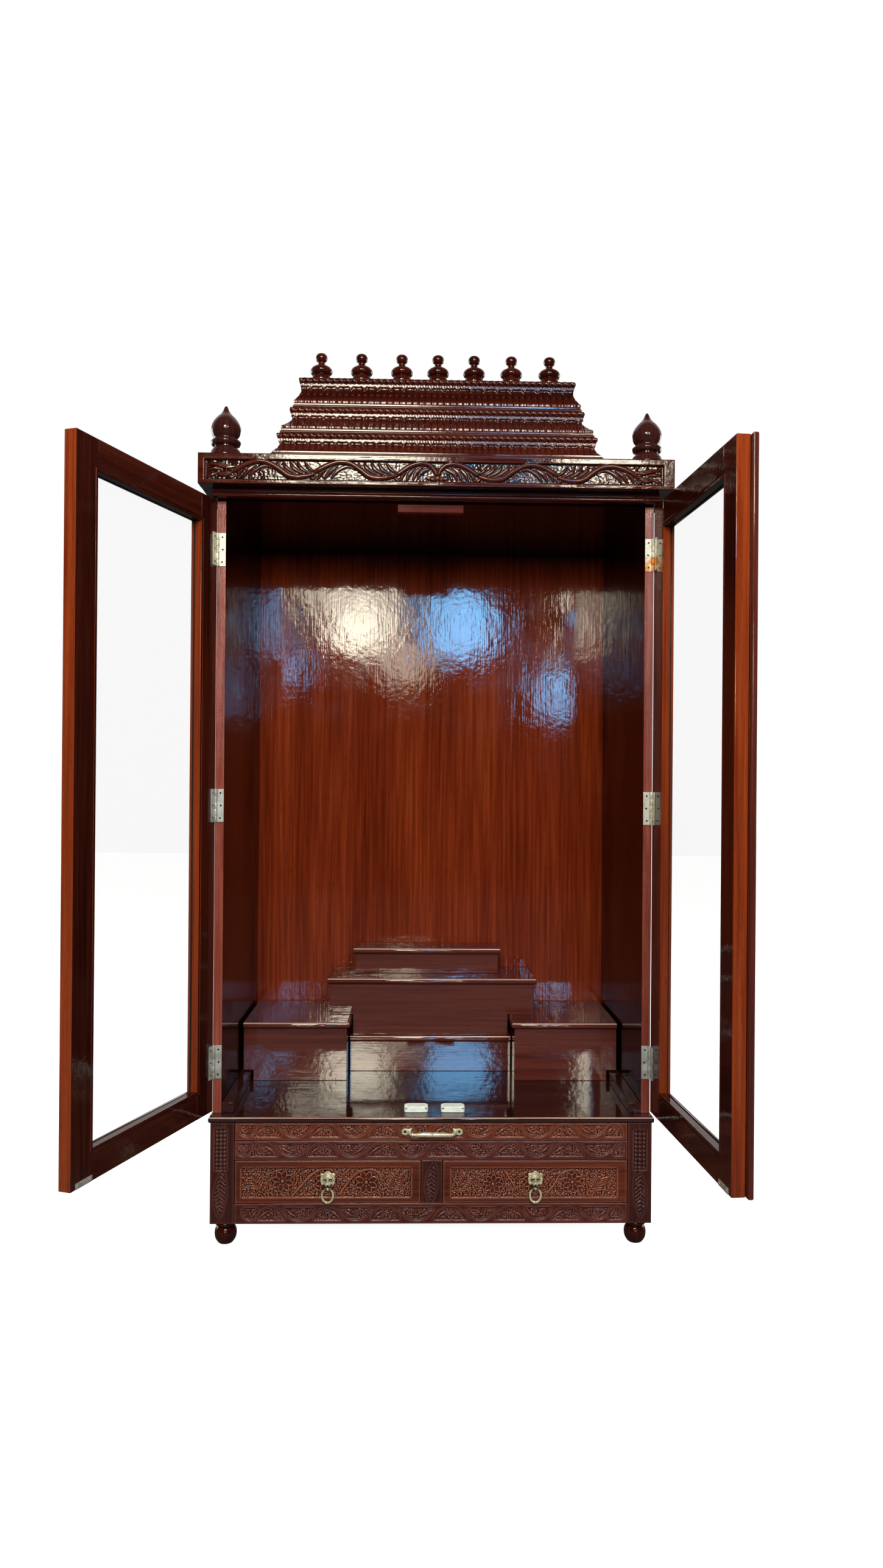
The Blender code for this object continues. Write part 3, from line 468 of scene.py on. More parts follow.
def hard_edges(bm, over=ARRIS):
    return [e for e in bm.edges if len(e.link_faces) == 2 and e.calc_face_angle(0) > over]


def drawn_out(bm, faces, vec):
    """Draw faces out by vec, leaving walls behind them."""
    shift_points(bm, bmesh.ops.extrude_face_region(bm, geom=faces)["geom"], vec)
    return bm


def shift_points(bm, geom, vec):
    bmesh.ops.translate(bm, vec=vec, verts=[g for g in geom if isinstance(g, bmesh.types.BMVert)])


def block(low, high, radius=0.0, steps=2, bm=None):
    """A block between two corners, its edges rounded; it may join what bm already holds."""
    bm = bmesh.new() if bm is None else bm
    low, high = Vector(low), Vector(high)
    new = bmesh.ops.create_cube(bm, size=1.0, matrix=at((low + high) / 2)
                                @ Matrix.Diagonal((*(high - low), 1.0)))["verts"]
    if radius:
        rounded(bm, list({e for v in new for e in v.link_edges}), radius, steps)
    return bm


def prism(outline, vec, bm=None):
    """Draw a flat outline out by vec into a solid; it may join what bm already holds."""
    bm = bmesh.new() if bm is None else bm
    return drawn_out(bm, [bm.faces.new([bm.verts.new(place) for place in outline])], vec)


def plain_board(name, low, high, radius, finish, node, slot="carved_wood"):
    piece(name, block(low, high, radius), WOODS[finish], "cabinet", slot, [node])


def add_mesh(bm, mesh, *matrices):
    """Lay a copy of a ready mesh into bm, under each matrix in turn."""
    for matrix in matrices or [Matrix.Identity(4)]:
        before = len(bm.verts)
        bm.from_mesh(mesh)
        bm.verts.ensure_lookup_table()
        bmesh.ops.transform(bm, matrix=matrix, verts=bm.verts[before:])
    return bm


def run_through(points, steps):
    """A smooth line through the points (Catmull-Rom), as an array."""
    p = np.array(points, float)
    p = np.vstack([2 * p[0] - p[1], p, 2 * p[-1] - p[-2]])
    t = np.linspace(0, 1, steps, endpoint=False)[:, None]
    runs = [0.5 * (2 * b + (c - a) * t + (2 * a - 5 * b + 4 * c - d) * t ** 2
                   + (3 * b - a - 3 * c + d) * t ** 3)
            for a, b, c, d in zip(p, p[1:], p[2:], p[3:])]
    return np.vstack([*runs, p[-2:-1]])


def add_cone(bm, foot, head, length, matrix, segments=24):
    """A rod or cone, its radii at foot and head given, centred on the matrix's place."""
    return bmesh.ops.create_cone(bm, segments=segments, radius1=foot, radius2=head, depth=length,
                                 cap_ends=True, matrix=matrix)["verts"]


def spun(bm, geom, steps):
    """Spin geometry all the way round Z."""
    bmesh.ops.spin(bm, geom=geom, axis=(0, 0, 1), cent=(0, 0, 0), angle=2 * math.pi, steps=steps,
                   use_merge=True)
    return bm


def turned(runs, segments, steps=5):
    """Spin a profile round Z; each run of (radius, height) is smooth, with an arris between."""
    line = []
    for run in runs:
        line += [tuple(q) for q in (run_through(run, steps) if len(run) > 2 else run)]
    bm = bmesh.new()
    verts = [bm.verts.new((max(r, 0.0), 0.0, z)) for r, z in line]
    return spun(bm, verts + [bm.edges.new(pair) for pair in zip(verts, verts[1:])], segments)


def through(bm, kind, **settings):
    """Run a bmesh through one modifier and return the result."""
    obj = place_object("shaping", to_mesh(bm, "shaping"))
    modifier = obj.modifiers.new(kind, kind)
    for key, value in settings.items():
        setattr(modifier, key, value)
    done = bmesh.new()
    done.from_object(obj, bpy.context.evaluated_depsgraph_get())
    bpy.data.objects.remove(obj, do_unlink=True)
    return done


def cut_away(bm, cutter):
    """Cut one closed shape out of another."""
    tool = place_object("cutter", to_mesh(cutter, "cutter"))
    done = through(bm, "BOOLEAN", operation="DIFFERENCE", object=tool, solver="EXACT")
    bpy.data.objects.remove(tool, do_unlink=True)
    return done


def cut_boxes(bm, *boxes):
    """Cut boxes, each given by two corners, out of a closed shape."""
    for low, high in boxes:
        bm = cut_away(bm, block(low, high))
    return bm


# ---- Carving ----

LUCK = 64                             # the scatter repeats after so many seeds
SCATTER = np.random.default_rng(11).random((LUCK, LUCK, 3))
RIM_WEAR, RIM_W, SOFTENINGS = 0.8, 1.2, 8


def ease(value, low, high):
    t = np.clip((value - low) / (high - low), 0.0, 1.0)
    return t * t * (3 - 2 * t)


def seeds(s, t, pitch, wander=0.34):
    """How far each point is from the nearest of many scattered seeds, in pitches."""
    column, row = np.floor(s / pitch).astype(int), np.floor(t / pitch).astype(int)
    nearest = np.full(s.shape, 9.0)
    for across in (-1, 0, 1):
        for up in (-1, 0, 1):
            luck = SCATTER[(column + across) % LUCK, (row + up) % LUCK]
            ds = s / pitch - column - across - 0.5 + wander * 2 * (luck[..., 0] - 0.5)
            dt = t / pitch - row - up - 0.5 + wander * 2 * (luck[..., 1] - 0.5)
            nearest = np.minimum(nearest, np.hypot(ds, dt) * (0.85 + 0.4 * luck[..., 2]))
    return nearest


def dome(distance, radius):
    return np.sqrt(np.clip(1.0 - (distance / radius) ** 2, 0.0, 1.0))


def inside_of(s, t, left, right, foot, head):
    """How far each point is inside a box."""
    return np.minimum(np.minimum(s - left, right - s), np.minimum(t - foot, head - t))


def drift(s, t, pitch, row):
    """A slow wander between -1 and 1, for the unevenness of hand work."""
    return np.sin(s / pitch + 5 * SCATTER[row, 0, 0]) * 0.6 + \
        np.sin(s / pitch * 2.3 + t / pitch + 9 * SCATTER[row, 1, 0]) * 0.4


def stroke(s, t, points, widths, steps=5):
    """Height of a rounded stroke along the points, from its half widths there, in millimetres."""
    path = run_through(points, steps)
    width = np.interp(np.linspace(0, 1, len(path)), np.linspace(0, 1, len(widths)), widths)
    reach = max(widths) + 0.5
    low, high = path.min(0) - reach, path.max(0) + reach
    near = (s > low[0]) & (s < high[0]) & (t > low[1]) & (t < high[1])
    height = np.zeros(s.shape)
    if not near.any():
        return height
    x, y = s[near], t[near]
    best = np.zeros(x.shape)
    for (ax, ay), (bx, by), wa, wb in zip(path, path[1:], width, width[1:]):
        dx, dy = bx - ax, by - ay
        h = np.clip(((x - ax) * dx + (y - ay) * dy) / (dx * dx + dy * dy), 0, 1)
        w = wa + (wb - wa) * h
        away = np.hypot(x - ax - h * dx, y - ay - h * dy)
        best = np.maximum(best, w * dome(away, np.maximum(w, 0.01)))
    height[near] = best
    return height


def carved_board(name, low, high, cell, carve, finish, body, nodes):
    """A board with its face towards the front cut by carve(s, t), the depth in millimetres."""
    low, high = Vector(low), Vector(high)
    size = high - low
    across, up = round(size.x / cell), round(size.z / cell)
    bm = bmesh.new()
    bmesh.ops.create_grid(bm, x_segments=across, y_segments=up, size=0.5)
    bmesh.ops.transform(bm, verts=bm.verts, matrix=at(
        ((low.x + high.x) / 2, low.y, (low.z + high.z) / 2))
        @ about("X", QUARTER) @ Matrix.Diagonal((size.x, size.z, 1.0, 1.0)))
    on_face = len(bm.verts)
    rim = [e for e in bm.edges if e.is_boundary]
    shift_points(bm, bmesh.ops.extrude_edge_only(bm, edges=rim)["geom"], (0, size.y, 0))
    bmesh.ops.edgeloop_fill(bm, edges=[e for e in bm.edges if e.is_boundary])
    bmesh.ops.recalc_face_normals(bm, faces=bm.faces)
    board = piece(name, bm, finish, body, "carved_wood", nodes, sharp=62, clean=False)
    press_in(board.data, on_face, (across + 1, up + 1), low, size, carve)


def press_in(mesh, on_face, shape, low, size, carve):
    """Move the face's points back by the carving's depth, and note how hollow each place is, for
    painted shade in the hollows and a painted highlight on what stands proud.
    """
    co = np.empty(len(mesh.vertices) * 3, np.float32)
    mesh.vertices.foreach_get("co", co)
    co = co.reshape(-1, 3)
    s = (co[:on_face, 0].astype(float) - low.x) / MM
    t = (co[:on_face, 2].astype(float) - low.z) / MM
    depth = carve(s, t)
    from_edge = inside_of(s, t, 0, size.x / MM, 0, size.z / MM)
    depth = depth + RIM_WEAR * (1 - dome(np.clip(RIM_W - from_edge, 0, RIM_W), RIM_W))
    co[:on_face, 1] += depth * MM
    mesh.vertices.foreach_set("co", co.ravel())
    order = np.lexsort((np.round(s, 3), np.round(t, 3)))
    grid = soft = depth[order].reshape(shape[1], shape[0])
    for _ in range(SOFTENINGS):
        padded = np.pad(soft, 1, mode="edge")
        soft = (padded[:-2, 1:-1] + padded[2:, 1:-1] + padded[1:-1, :-2] + padded[1:-1, 2:]) / 4
    # painted shade where the face sinks below its softened surroundings, painted highlight where it
    # stands above them
    hollow = np.clip(0.06 * grid + 1.6 * (grid - soft), -1.0, 1.0)
    values = np.zeros(len(mesh.vertices))
    values[order] = hollow.ravel()
    mesh.attributes.new("hollow", "FLOAT", "POINT").data.foreach_set("value", values)
    mesh.update()

# ---- Carved fronts of the base ----

GROUND_DEEP = 1.9


def leafy_ground(s, t, inside, pitch=3.1):
    """The depth of ground cut away inside a shape and filled with round seeds."""
    s, t = s + 1.5 * drift(s, t, 5.0, 6), t + 1.1 * drift(s, t, 6.5, 7)
    beads = dome(seeds(s, t, pitch), 0.46) * GROUND_DEEP * (0.70 + 0.35 * drift(s, t, 7.0, 8))
    return GROUND_DEEP * inside - beads * np.clip(inside, 0, 1)


# veins of one wave's leaf, from its rib outwards, in shares of the wave's reach and height
VEINS = (((-0.62, 0.30), (-0.22, 0.34)), ((-0.40, 0.50), (0.02, 0.46)),
         ((-0.20, 0.66), (0.26, 0.62)), ((0.10, 0.20), (0.52, 0.34)))


def wave_band(s, t, bounds, low, high, row):
    """Bowls hanging from the band's head, and hills standing on its foot between them."""
    s = s + 0.8 * drift(s, t, 23.0, row)
    depth = np.zeros(s.shape)
    rise = high - low
    for k, (a, b) in enumerate(zip(bounds, bounds[1:])):
        up = k % 2 == 1
        middle, half = (a + b) / 2, (b - a) / 2 + 1.0
        near = (s > a - 5) & (s < b + 5)
        x, y = s[near], t[near]
        v = y - low if up else high - y
        top = rise * (0.97 + 0.06 * SCATTER[k, row, 1])
        radius = (half ** 2 + top ** 2) / (2 * top)
        gap = radius - np.hypot(x - middle, v - top + radius)
        inside = ease(gap, 1.2, 2.4) * ease(v, -0.2, 0.9)
        cut = leafy_ground(x, v, inside)
        cut = np.maximum(cut, 1.15 * np.exp(-((gap - 0.2) / 0.75) ** 2) * ease(v, -1.2, 0.2))
        side = 1 if (k + row) % 3 else -1
        reach = side * half

        def on(u, w):
            return middle + u * reach, w * top
        leaf = stroke(x, v, [on(-0.86, 0.10), on(-0.52, 0.50), on(-0.05, 0.80)], (0.5, 2.3, 0.5))
        for start, end in VEINS:
            middle_way = ((start[0] + end[0]) / 2, (start[1] + end[1]) / 2 - 0.10)
            leaf = np.maximum(leaf, stroke(x, v, [on(*start), on(*middle_way), on(*end)],
                                           (0.5, 1.5, 0.3)))
        cut = np.where(leaf > 0.05, np.minimum(cut, 1.75 - 0.8 * leaf), cut)
        depth[near] = np.maximum(depth[near], cut)
    return depth


# where each board's waves meet, their foot and head, and their row of the scatter
TRAY_WAVES = ((8.7, 38.7, 93.7, 155.1, 215.3, 276.8, 337.1, 402.6, 469.5, 535.2, 595.9, 652.9,
               710.0, 767.1, 800.2), 6.9, 32.0, 1)
MIDDLE_WAVES = ((4.8, 31.0, 87.2, 149.8, 210.0, 272.8, 335.6, 398.6, 479.3, 537.4, 596.9, 653.9,
                 719.8, 787.2, 800.5), 7.8, 34.6, 2)
BOTTOM_WAVES = ((18.3, 47.0, 103.3, 163.4, 221.1, 281.4, 340.5, 411.0, 480.4, 537.2, 600.4,
                 654.9, 718.3, 775.5, 802.2), 7.4, 33.8, 3)


def waves(band):
    return lambda s, t: wave_band(s, t, *band)


PETALS, DRAWER_DEEP, CHISEL_MARKS = 8, 2.2, 150


def flower(s, t, centre, radius, turn):
    """An open flower's height, rimmed petals round a boss, and where it lies."""
    x, y = s - centre[0], t - centre[1]
    away, angle = np.hypot(x, y), np.arctan2(y, x) + turn
    petal_angle = 2 * math.pi / PETALS
    local = (angle + petal_angle / 2) % petal_angle - petal_angle / 2
    u, v = away * np.cos(local) - 0.60 * radius, away * np.sin(local)
    ring = np.hypot(u / (0.40 * radius), v / (0.265 * radius))
    petal = ring < 1.0
    rim = np.exp(-((ring - 0.86) / 0.13) ** 2)
    height = np.where(petal, 0.75 + 1.05 * rim - 0.30 * np.exp(-(v / 0.6) ** 2), 0.0)
    core = away < 0.30 * radius
    height = np.where(core, 0.5 + 1.5 * dome(away, 0.17 * radius), height)
    return height, petal | core


def drawer_carving(field, flowers, stems, leaves, berries, row):
    """Carving for one drawer front: seeds and leaves round flowers on arching stems."""
    def carve(s, t):
        (s0, t0), (s1, t1) = field
        deep, edge = DRAWER_DEEP, inside_of(s, t, s0, s1, t0, t1)
        inside = ease(edge, -0.3, 0.7)
        cut = deep * inside - dome(seeds(s + row * 31, t, 3.7), 0.45) * 1.7 * inside
        raised = np.zeros(s.shape)
        rng = np.random.default_rng(40 + row)
        for _ in range(CHISEL_MARKS):
            x, y = rng.uniform(s0 + 4, s1 - 4), rng.uniform(t0 + 3, t1 - 3)
            lean, long = rng.uniform(0, math.pi), rng.uniform(3.2, 5.6)
            bend = rng.uniform(-1.4, 1.4)
            dx, dy = math.cos(lean) * long, math.sin(lean) * long
            mark = stroke(s, t, [(x - dx, y - dy), (x - bend * dy / long, y + bend * dx / long),
                                 (x + dx, y + dy)], (0.3, 1.6, 0.3), 3)
            raised = np.maximum(raised, mark)
        for points, widths in leaves:
            raised = np.maximum(raised, stroke(s, t, points, widths))
        for x, y in berries:
            away = np.hypot(s - x, t - y)
            raised = np.maximum(raised, 2.0 * dome(away, 2.4) * (1 - 0.5 * dome(away, 0.9)))
        cut = np.where(raised > 0.1, np.minimum(cut, deep - 0.5 - raised), cut)
        for centre, radius, turn in flowers:
            away = np.hypot(s - centre[0], t - centre[1])
            clear = ease(away, radius * 0.93, radius * 1.10)
            cut = np.where(away < radius * 1.12, np.maximum(cut * clear, deep * (1 - clear)), cut)
            height, mask = flower(s, t, centre, radius, turn)
            cut = np.where(mask, deep - height, cut)
        for points, width in stems:
            bar = stroke(s, t, points, (width, width, width * 0.8))
            groove = stroke(s, t, points, (width * 0.32, width * 0.32, width * 0.25))
            cut = np.where(bar > 0.1, np.minimum(cut, deep - 0.6 - bar), cut)
            cut = cut + 0.9 * (groove > 0.1) * groove
        cut = cut * (inside > 0)
        return np.maximum(cut, 0.9 * np.exp(-((edge + 0.4) / 0.6) ** 2))
    return carve


def spray(x, y, lean, size, count=4):
    """A leaf spray: short blades fanned off a bent rib."""
    ca, sa = math.cos(lean), math.sin(lean)

    def on(u, v):
        return x + size * (u * ca - v * sa), y + size * (u * sa + v * ca)
    blades = [([on(0, 0), on(0.5, 0.10), on(1, 0)], (0.7, 1.1, 0.5))]
    for i in range(count):
        u = 0.15 + 0.7 * i / count
        for side in (-1, 1):
            blades.append(([on(u, 0.03 * side), on(u + 0.18, 0.20 * side),
                            on(u + 0.24, 0.42 * side)], (0.6, 1.9, 0.3)))
    return blades


# each drawer: its field, flowers, stems, sprays of leaves, berries, and its number
LEFT_DRAWER = drawer_carving(
    ((14.5, 12.5), (362.3, 72.4)),
    [((98.0, 44.6), 23.0, 0.25), ((187.2, 45.0), 23.0, 0.39), ((270.4, 42.1), 24.0, 0.39)],
    [([(118.0, 14.0), (126.0, 24.0), (143.4, 44.0), (160.0, 60.0), (180.8, 70.0),
       (199.6, 69.0)], 1.9),
     ([(215.7, 18.0), (232.7, 42.8), (249.8, 60.5), (275.0, 69.5), (294.0, 63.5),
       (303.4, 47.0)], 1.9),
     ([(232.7, 42.8), (240.0, 56.0), (243.0, 69.0)], 1.3)],
    spray(52, 22, 2.0, 40, 5) + spray(30, 60, -0.6, 26) + spray(128, 62, 0.4, 22)
    + spray(318, 18, 1.15, 44, 6) + spray(356, 64, -2.3, 24) + spray(222, 60, 0.9, 18, 3)
    + spray(150, 22, 0.6, 22, 3),
    [(137.3, 17.8), (144.0, 17.2), (149.9, 17.8), (160.5, 18.5), (168.7, 17.8), (218.8, 20.8),
     (226.0, 21.0), (232.9, 22.3), (242.3, 20.8), (250.0, 18.0)], 1)
RIGHT_DRAWER = drawer_carving(
    ((18.0, 11.5), (361.0, 70.6)),
    [((104.0, 38.0), 21.0, 0.1), ((188.5, 43.0), 22.0, 0.39), ((269.1, 42.0), 22.0, 0.3)],
    [([(128.0, 66.0), (140.0, 48.0), (155.0, 26.0), (176.0, 14.0)], 1.6),
     ([(214.0, 16.0), (230.0, 36.0), (244.0, 58.0), (270.0, 68.0), (292.0, 60.0)], 1.6)],
    spray(30, 22, 1.0, 42, 6) + spray(60, 62, -0.5, 26) + spray(140, 16, 0.5, 30)
    + spray(312, 16, 1.2, 44, 6) + spray(350, 58, -2.0, 30, 5) + spray(222, 62, 0.2, 24)
    + spray(150, 60, 0.3, 26),
    [(74.0, 16.0), (82.0, 15.0), (206.0, 20.0), (238.0, 18.0), (250.0, 17.0)], 2)


def lattice(s, t, low, high):
    """Three files of round bosses crossed by fine lines."""
    inside = ease(np.minimum(s - low[0], high[0] - s), -0.3, 0.7) \
        * ease(np.minimum(t - low[1], high[1] - t), -0.3, 0.7)
    pitch = (high[0] - low[0]) / 3
    u, v = (s - low[0]) / pitch, (t - low[1]) / pitch
    away = np.hypot(u % 1 - 0.5, v % 1 - 0.5) * pitch
    cross = np.minimum(np.abs((u + v) % 1 - 0.5), np.abs((u - v) % 1 - 0.5)) * pitch
    cut = 1.9 - 1.6 * dome(away, 2.9) - 0.9 * np.exp(-(cross / 0.8) ** 2)
    return np.maximum(cut, 0) * inside


def leaf_arch(s, t, low, high, hand):
    """A long pointed leaf, its rim grooved and its inside full of seeds and veins."""
    width, tall = high[0] - low[0], high[1] - low[1]
    if hand < 0:
        s = low[0] + high[0] - s
    u, v = (s - low[0]) / width, (t - low[1]) / tall
    spine = 0.42 + 0.50 * np.clip(v, 0, 1) ** 2.2
    half = 0.50 * np.sin(np.clip(v * 0.93 + 0.035, 0, 1) * math.pi) ** 0.62
    gap = (half - np.abs(u - spine + 0.42 * np.clip(v, 0, 1) ** 2.2 * 0.55)) * width
    inside = ease(gap, 1.3, 2.4)
    cut = leafy_ground(s, t, inside, 3.3)
    vein = np.abs((t - low[1]) / 8.5 + 0.10 * np.abs(u - 0.45) * width) % 1 - 0.5
    cut = np.where((np.abs(vein) < 0.13) & (gap > 2.5), np.minimum(cut, 0.35), cut)
    return np.maximum(cut, 1.2 * np.exp(-((gap - 0.3) / 0.75) ** 2))


def post_carving(low, high, hand):
    return lambda s, t: np.maximum(
        lattice(s, t, low, high),
        leaf_arch(s, t, (low[0], 16.5), (high[0] + 0.5, 107.0), hand))


def stile_carving(s, t):
    return leaf_arch(s, t, (9.5, 4.0), (34.0, 79.0), 1)


CELL = 0.00095                        # how finely a board's face is divided
for name, finish, carve in (
        ("middle_rail", "rail", waves(MIDDLE_WAVES)),
        ("bottom_rail", "rail", waves(BOTTOM_WAVES)),
        ("post_left", "post", post_carving((9.0, 110.5), (34.0, 197.0), 1)),
        ("post_right", "post", post_carving((13.0, 110.5), (39.0, 194.0), -1))):
    node = f"base_{name}"
    carved_board(f"carved_{name}", *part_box(node), CELL, carve, WOODS[finish], "cabinet", [node])

FRONT_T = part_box("base_middle_rail")[1].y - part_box("base_middle_rail")[0].y


def front_of(node):
    """The corners of a drawer's or tray's front board, the part of its node that faces forward."""
    low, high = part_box(node)
    return low, Vector((high.x, low.y + FRONT_T, high.z))


def open_box(name, low, high, wall, floor, node):
    """A box open at its top: a block with its top face inset, then sunk to the floor."""
    bm = block(low, high)
    top = max(bm.faces, key=lambda face: face.calc_center_median().z)
    bmesh.ops.inset_individual(bm, faces=[top], thickness=wall, use_even_offset=True)
    sunk = bmesh.ops.extrude_discrete_faces(bm, faces=[top])["faces"]
    bmesh.ops.translate(bm, vec=(0, 0, floor - (high[2] - low[2])),
                        verts=list({v for f in sunk for v in f.verts}))
    rounded(bm, hard_edges(bm, 0.6), 0.0008)
    piece(name, bm, WOODS["deep"], node, "carved_wood", [node])


JOINT_BITE = 0.0005                   # how far one glued piece runs into the next
BOX_INSET = 0.004                     # how far a box's sides stand in from its front's ends
for node, carve, wall, floor, tall in (
        ("left_drawer", LEFT_DRAWER, 0.010, 0.006, 0.074),
        ("right_drawer", RIGHT_DRAWER, 0.010, 0.006, 0.074),
        ("tray", waves(TRAY_WAVES), 0.012, 0.009, 0.026)):
    low, high = front_of(node)
    carved_board(f"{node}_front", low, high, CELL, carve, WOODS["front"], node, [node])
    open_box(f"{node}_box", (low.x + BOX_INSET, high.y - JOINT_BITE, low.z),
             (high.x - BOX_INSET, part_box(node)[1].y, low.z + tall), wall, floor, node)
low, high = front_of("drawer_partition")
carved_board("carved_stile", low, high, CELL, stile_carving, WOODS["post"], "cabinet",
             ["drawer_partition"])
middle = (low.x + high.x) / 2
plain_board("partition_board", (middle - 0.008, high.y - JOINT_BITE, low.z),
            (middle + 0.008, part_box("drawer_partition")[1].y, high.z), 0.0008, "deep",
            "drawer_partition")

# ---- Cornice ----

CORNICE_LOW, CORNICE_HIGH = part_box("cornice")
CORNICE_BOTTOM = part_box("top_panel")[1].z + 0.0006
CORNICE_T, CORNICE_DECK, CORNICE_CELL, BEAD_CUTS = 0.034, 0.012, 0.00115, 60
UNIT, UNITS, FIRST_UNIT = 165.0, 2, 88  # the vine's swells: how long, how many, from where


# the vine's strokes, as points and half widths: from the middle, in each swell and at the end
VINE_START = [([(3, 25), (7, 34), (18, 44), (36, 46.5), (57, 40.5), (74, 30), (84, 24)],
               (3.0, 3.6, 4.4, 4.8, 4.6, 4.0, 3.4))]
VINE_SWELL = [([(-2, 22), (13, 18), (32, 16), (51, 20), (69, 33), (90, 44.5), (112, 46.5),
                (135, 40), (152, 31), (164, 24)],
               (3.0, 4.4, 5.2, 5.0, 4.6, 4.6, 4.8, 4.6, 4.2, 2.4))]
LOBES_START = [([(13, 37), (24, 33), (34, 27), (40, 15)], (1.8, 3.4, 3.8, 1.4)),
               ([(30, 40), (42, 30), (49, 14)], (1.8, 4.0, 1.6)),
               ([(46, 38), (57, 26), (62, 13)], (1.8, 4.0, 1.8)),
               ([(60, 35), (70, 26), (75, 13)], (1.8, 3.6, 1.8)),
               ([(84, 25), (88, 19), (82, 12.5), (77, 16)], (2.0, 2.8, 2.4, 1.2)),
               ([(0, 16.5), (9, 15), (20, 16.5)], (4.4, 5.0, 2.8)),
               ([(0, 17), (0.5, 30), (0, 38)], (4.6, 3.4, 1.4))]
LOBES_SWELL = [([(49, 12.5), (64, 24), (81, 35.5), (99, 37.5), (117, 27.5), (128, 14)],
                (1.0, 2.0, 2.6, 3.0, 3.2, 1.4)),
               ([(116, 38), (130, 28), (140, 14)], (1.6, 4.4, 1.6)),
               ([(131, 39), (146, 28), (153, 14)], (1.6, 4.6, 1.6)),
               ([(154, 28), (166, 27.5), (171, 20), (164, 13), (158, 18)],
                (1.6, 3.0, 2.8, 2.4, 1.4)),
               ([(72, 47), (68, 36), (50, 25)], (1.2, 3.2, 1.4)),
               ([(60, 48), (55, 36), (35, 22.5)], (1.2, 3.4, 1.4)),
               ([(46, 48), (39, 34), (20, 22.5)], (1.2, 3.4, 1.4)),
               ([(31, 47), (24, 33), (7, 24)], (1.2, 3.2, 1.4)),
               ([(16, 46), (7, 34), (-4, 27)], (1.0, 2.8, 1.2))]
LOBES_END = [([(-8, 27), (6, 20.5), (20, 19), (30, 22)], (1.6, 4.8, 4.8, 1.2)),
             ([(-10, 35), (8, 34), (24, 38), (42, 41)], (1.6, 4.4, 4.2, 1.2)),
             ([(20, 29), (33, 31), (46, 29)], (1.2, 3.0, 0.9)),
             ([(28, 22), (38, 18), (46, 13)], (1.0, 3.0, 1.0))]


def moved_on(strokes, by):
    return [([(x + by, y) for x, y in points], widths) for points, widths in strokes]


def vine_strokes():
    """The running vine and its lobes, from the middle outwards."""
    vine, lobes = [*VINE_START], [*LOBES_START]
    for k in range(UNITS):
        vine += moved_on(VINE_SWELL, FIRST_UNIT + UNIT * k)
        lobes += moved_on(LOBES_SWELL, FIRST_UNIT + UNIT * k)
    return vine, lobes + moved_on(LOBES_END, FIRST_UNIT + UNIT * UNITS)


def cornice_carving(s, t):
    """A sunk panel with a vine running out both ways from the middle."""
    half = (CORNICE_HIGH.x - CORNICE_LOW.x) / 2 / MM
    left, right, foot, head = half - 473.5, half + 465.0, 8.6, 50.0
    edge = inside_of(s, t, left, right, foot, head)
    deep = 5.2
    ground = deep * ease(edge, -0.4, 1.4)
    chips = dome(seeds(s, t, 5.0, 0.45), 0.70)
    ground = ground - ease(edge, 0.5, 2.0) * (0.25 * chips + 0.2 * drift(s, t, 9.0, 3))
    out = np.abs(s - half) + 0.9 * drift(s, t, 17.0, 5)
    up = t + 0.9 * drift(s, t, 31.0, 6)
    out = np.where(s < half, out * 0.995, out * 1.01)
    vine, lobes = vine_strokes()
    raised = np.zeros(s.shape)
    for points, widths in lobes:
        blade = stroke(out, up, points, widths)
        moat = stroke(out, up, points, [w + 1.1 for w in widths])
        rib = stroke(out, up, points, [w * 0.30 for w in widths])
        raised = np.where((moat > 0.3) & (blade < 0.05), 0.0, raised)
        raised = np.maximum(raised, np.where(blade > 0.1, 0.8 + 0.95 * blade - 0.9 * rib, 0))
    for points, widths in vine:
        wide = stroke(out, up, points, [w + 1.5 for w in widths])
        bar = stroke(out, up, points, widths)
        raised = np.where(wide > 0.5, 0.0, raised)
        raised = np.maximum(raised, np.where(bar > 0.05, 1.6 + 1.0 * bar, 0))
    cut = np.where(raised > 0, np.minimum(ground, deep - raised), ground)
    return cut * (edge > -0.4)


def bead_moulding(top):
    """A quirked bead under a hollow, run along the front below the cornice."""
    bottom, half, radius, front, rear = CORNICE_LOW.z, 0.463, 0.0048, -0.0325, -0.0065
    line = [(front + radius, bottom)]
    line += [(front + radius - radius * math.sin(a), bottom + radius - radius * math.cos(a))
             for a in np.linspace(0.25, math.pi * 0.92, 12)]
    line += [(front + 0.0052, bottom + 0.0100), (front + 0.0058, bottom + 0.0108)]
    line += [(front + 0.0058 - 0.0050 * (1 - math.cos(a)), bottom + 0.0112 + 0.0060 * math.sin(a))
             for a in np.linspace(0.15, QUARTER, 6)]
    line += [(front + 0.0006, top + 0.0002), (rear, top + 0.0002), (rear, bottom)]
    bm = prism([(MIDDLE_X - half, y, z) for y, z in line], (2 * half, 0, 0))
    for i in range(1, BEAD_CUTS):
        x = MIDDLE_X - half + 2 * half * i / BEAD_CUTS
        bmesh.ops.bisect_plane(bm, geom=bm.verts[:] + bm.edges[:] + bm.faces[:],
                               plane_co=(x, 0, 0), plane_no=(1, 0, 0))
    piece("cornice_bead", bm, WOODS["cornice"], "cabinet", "carved_wood", ["cornice"], sharp=40)


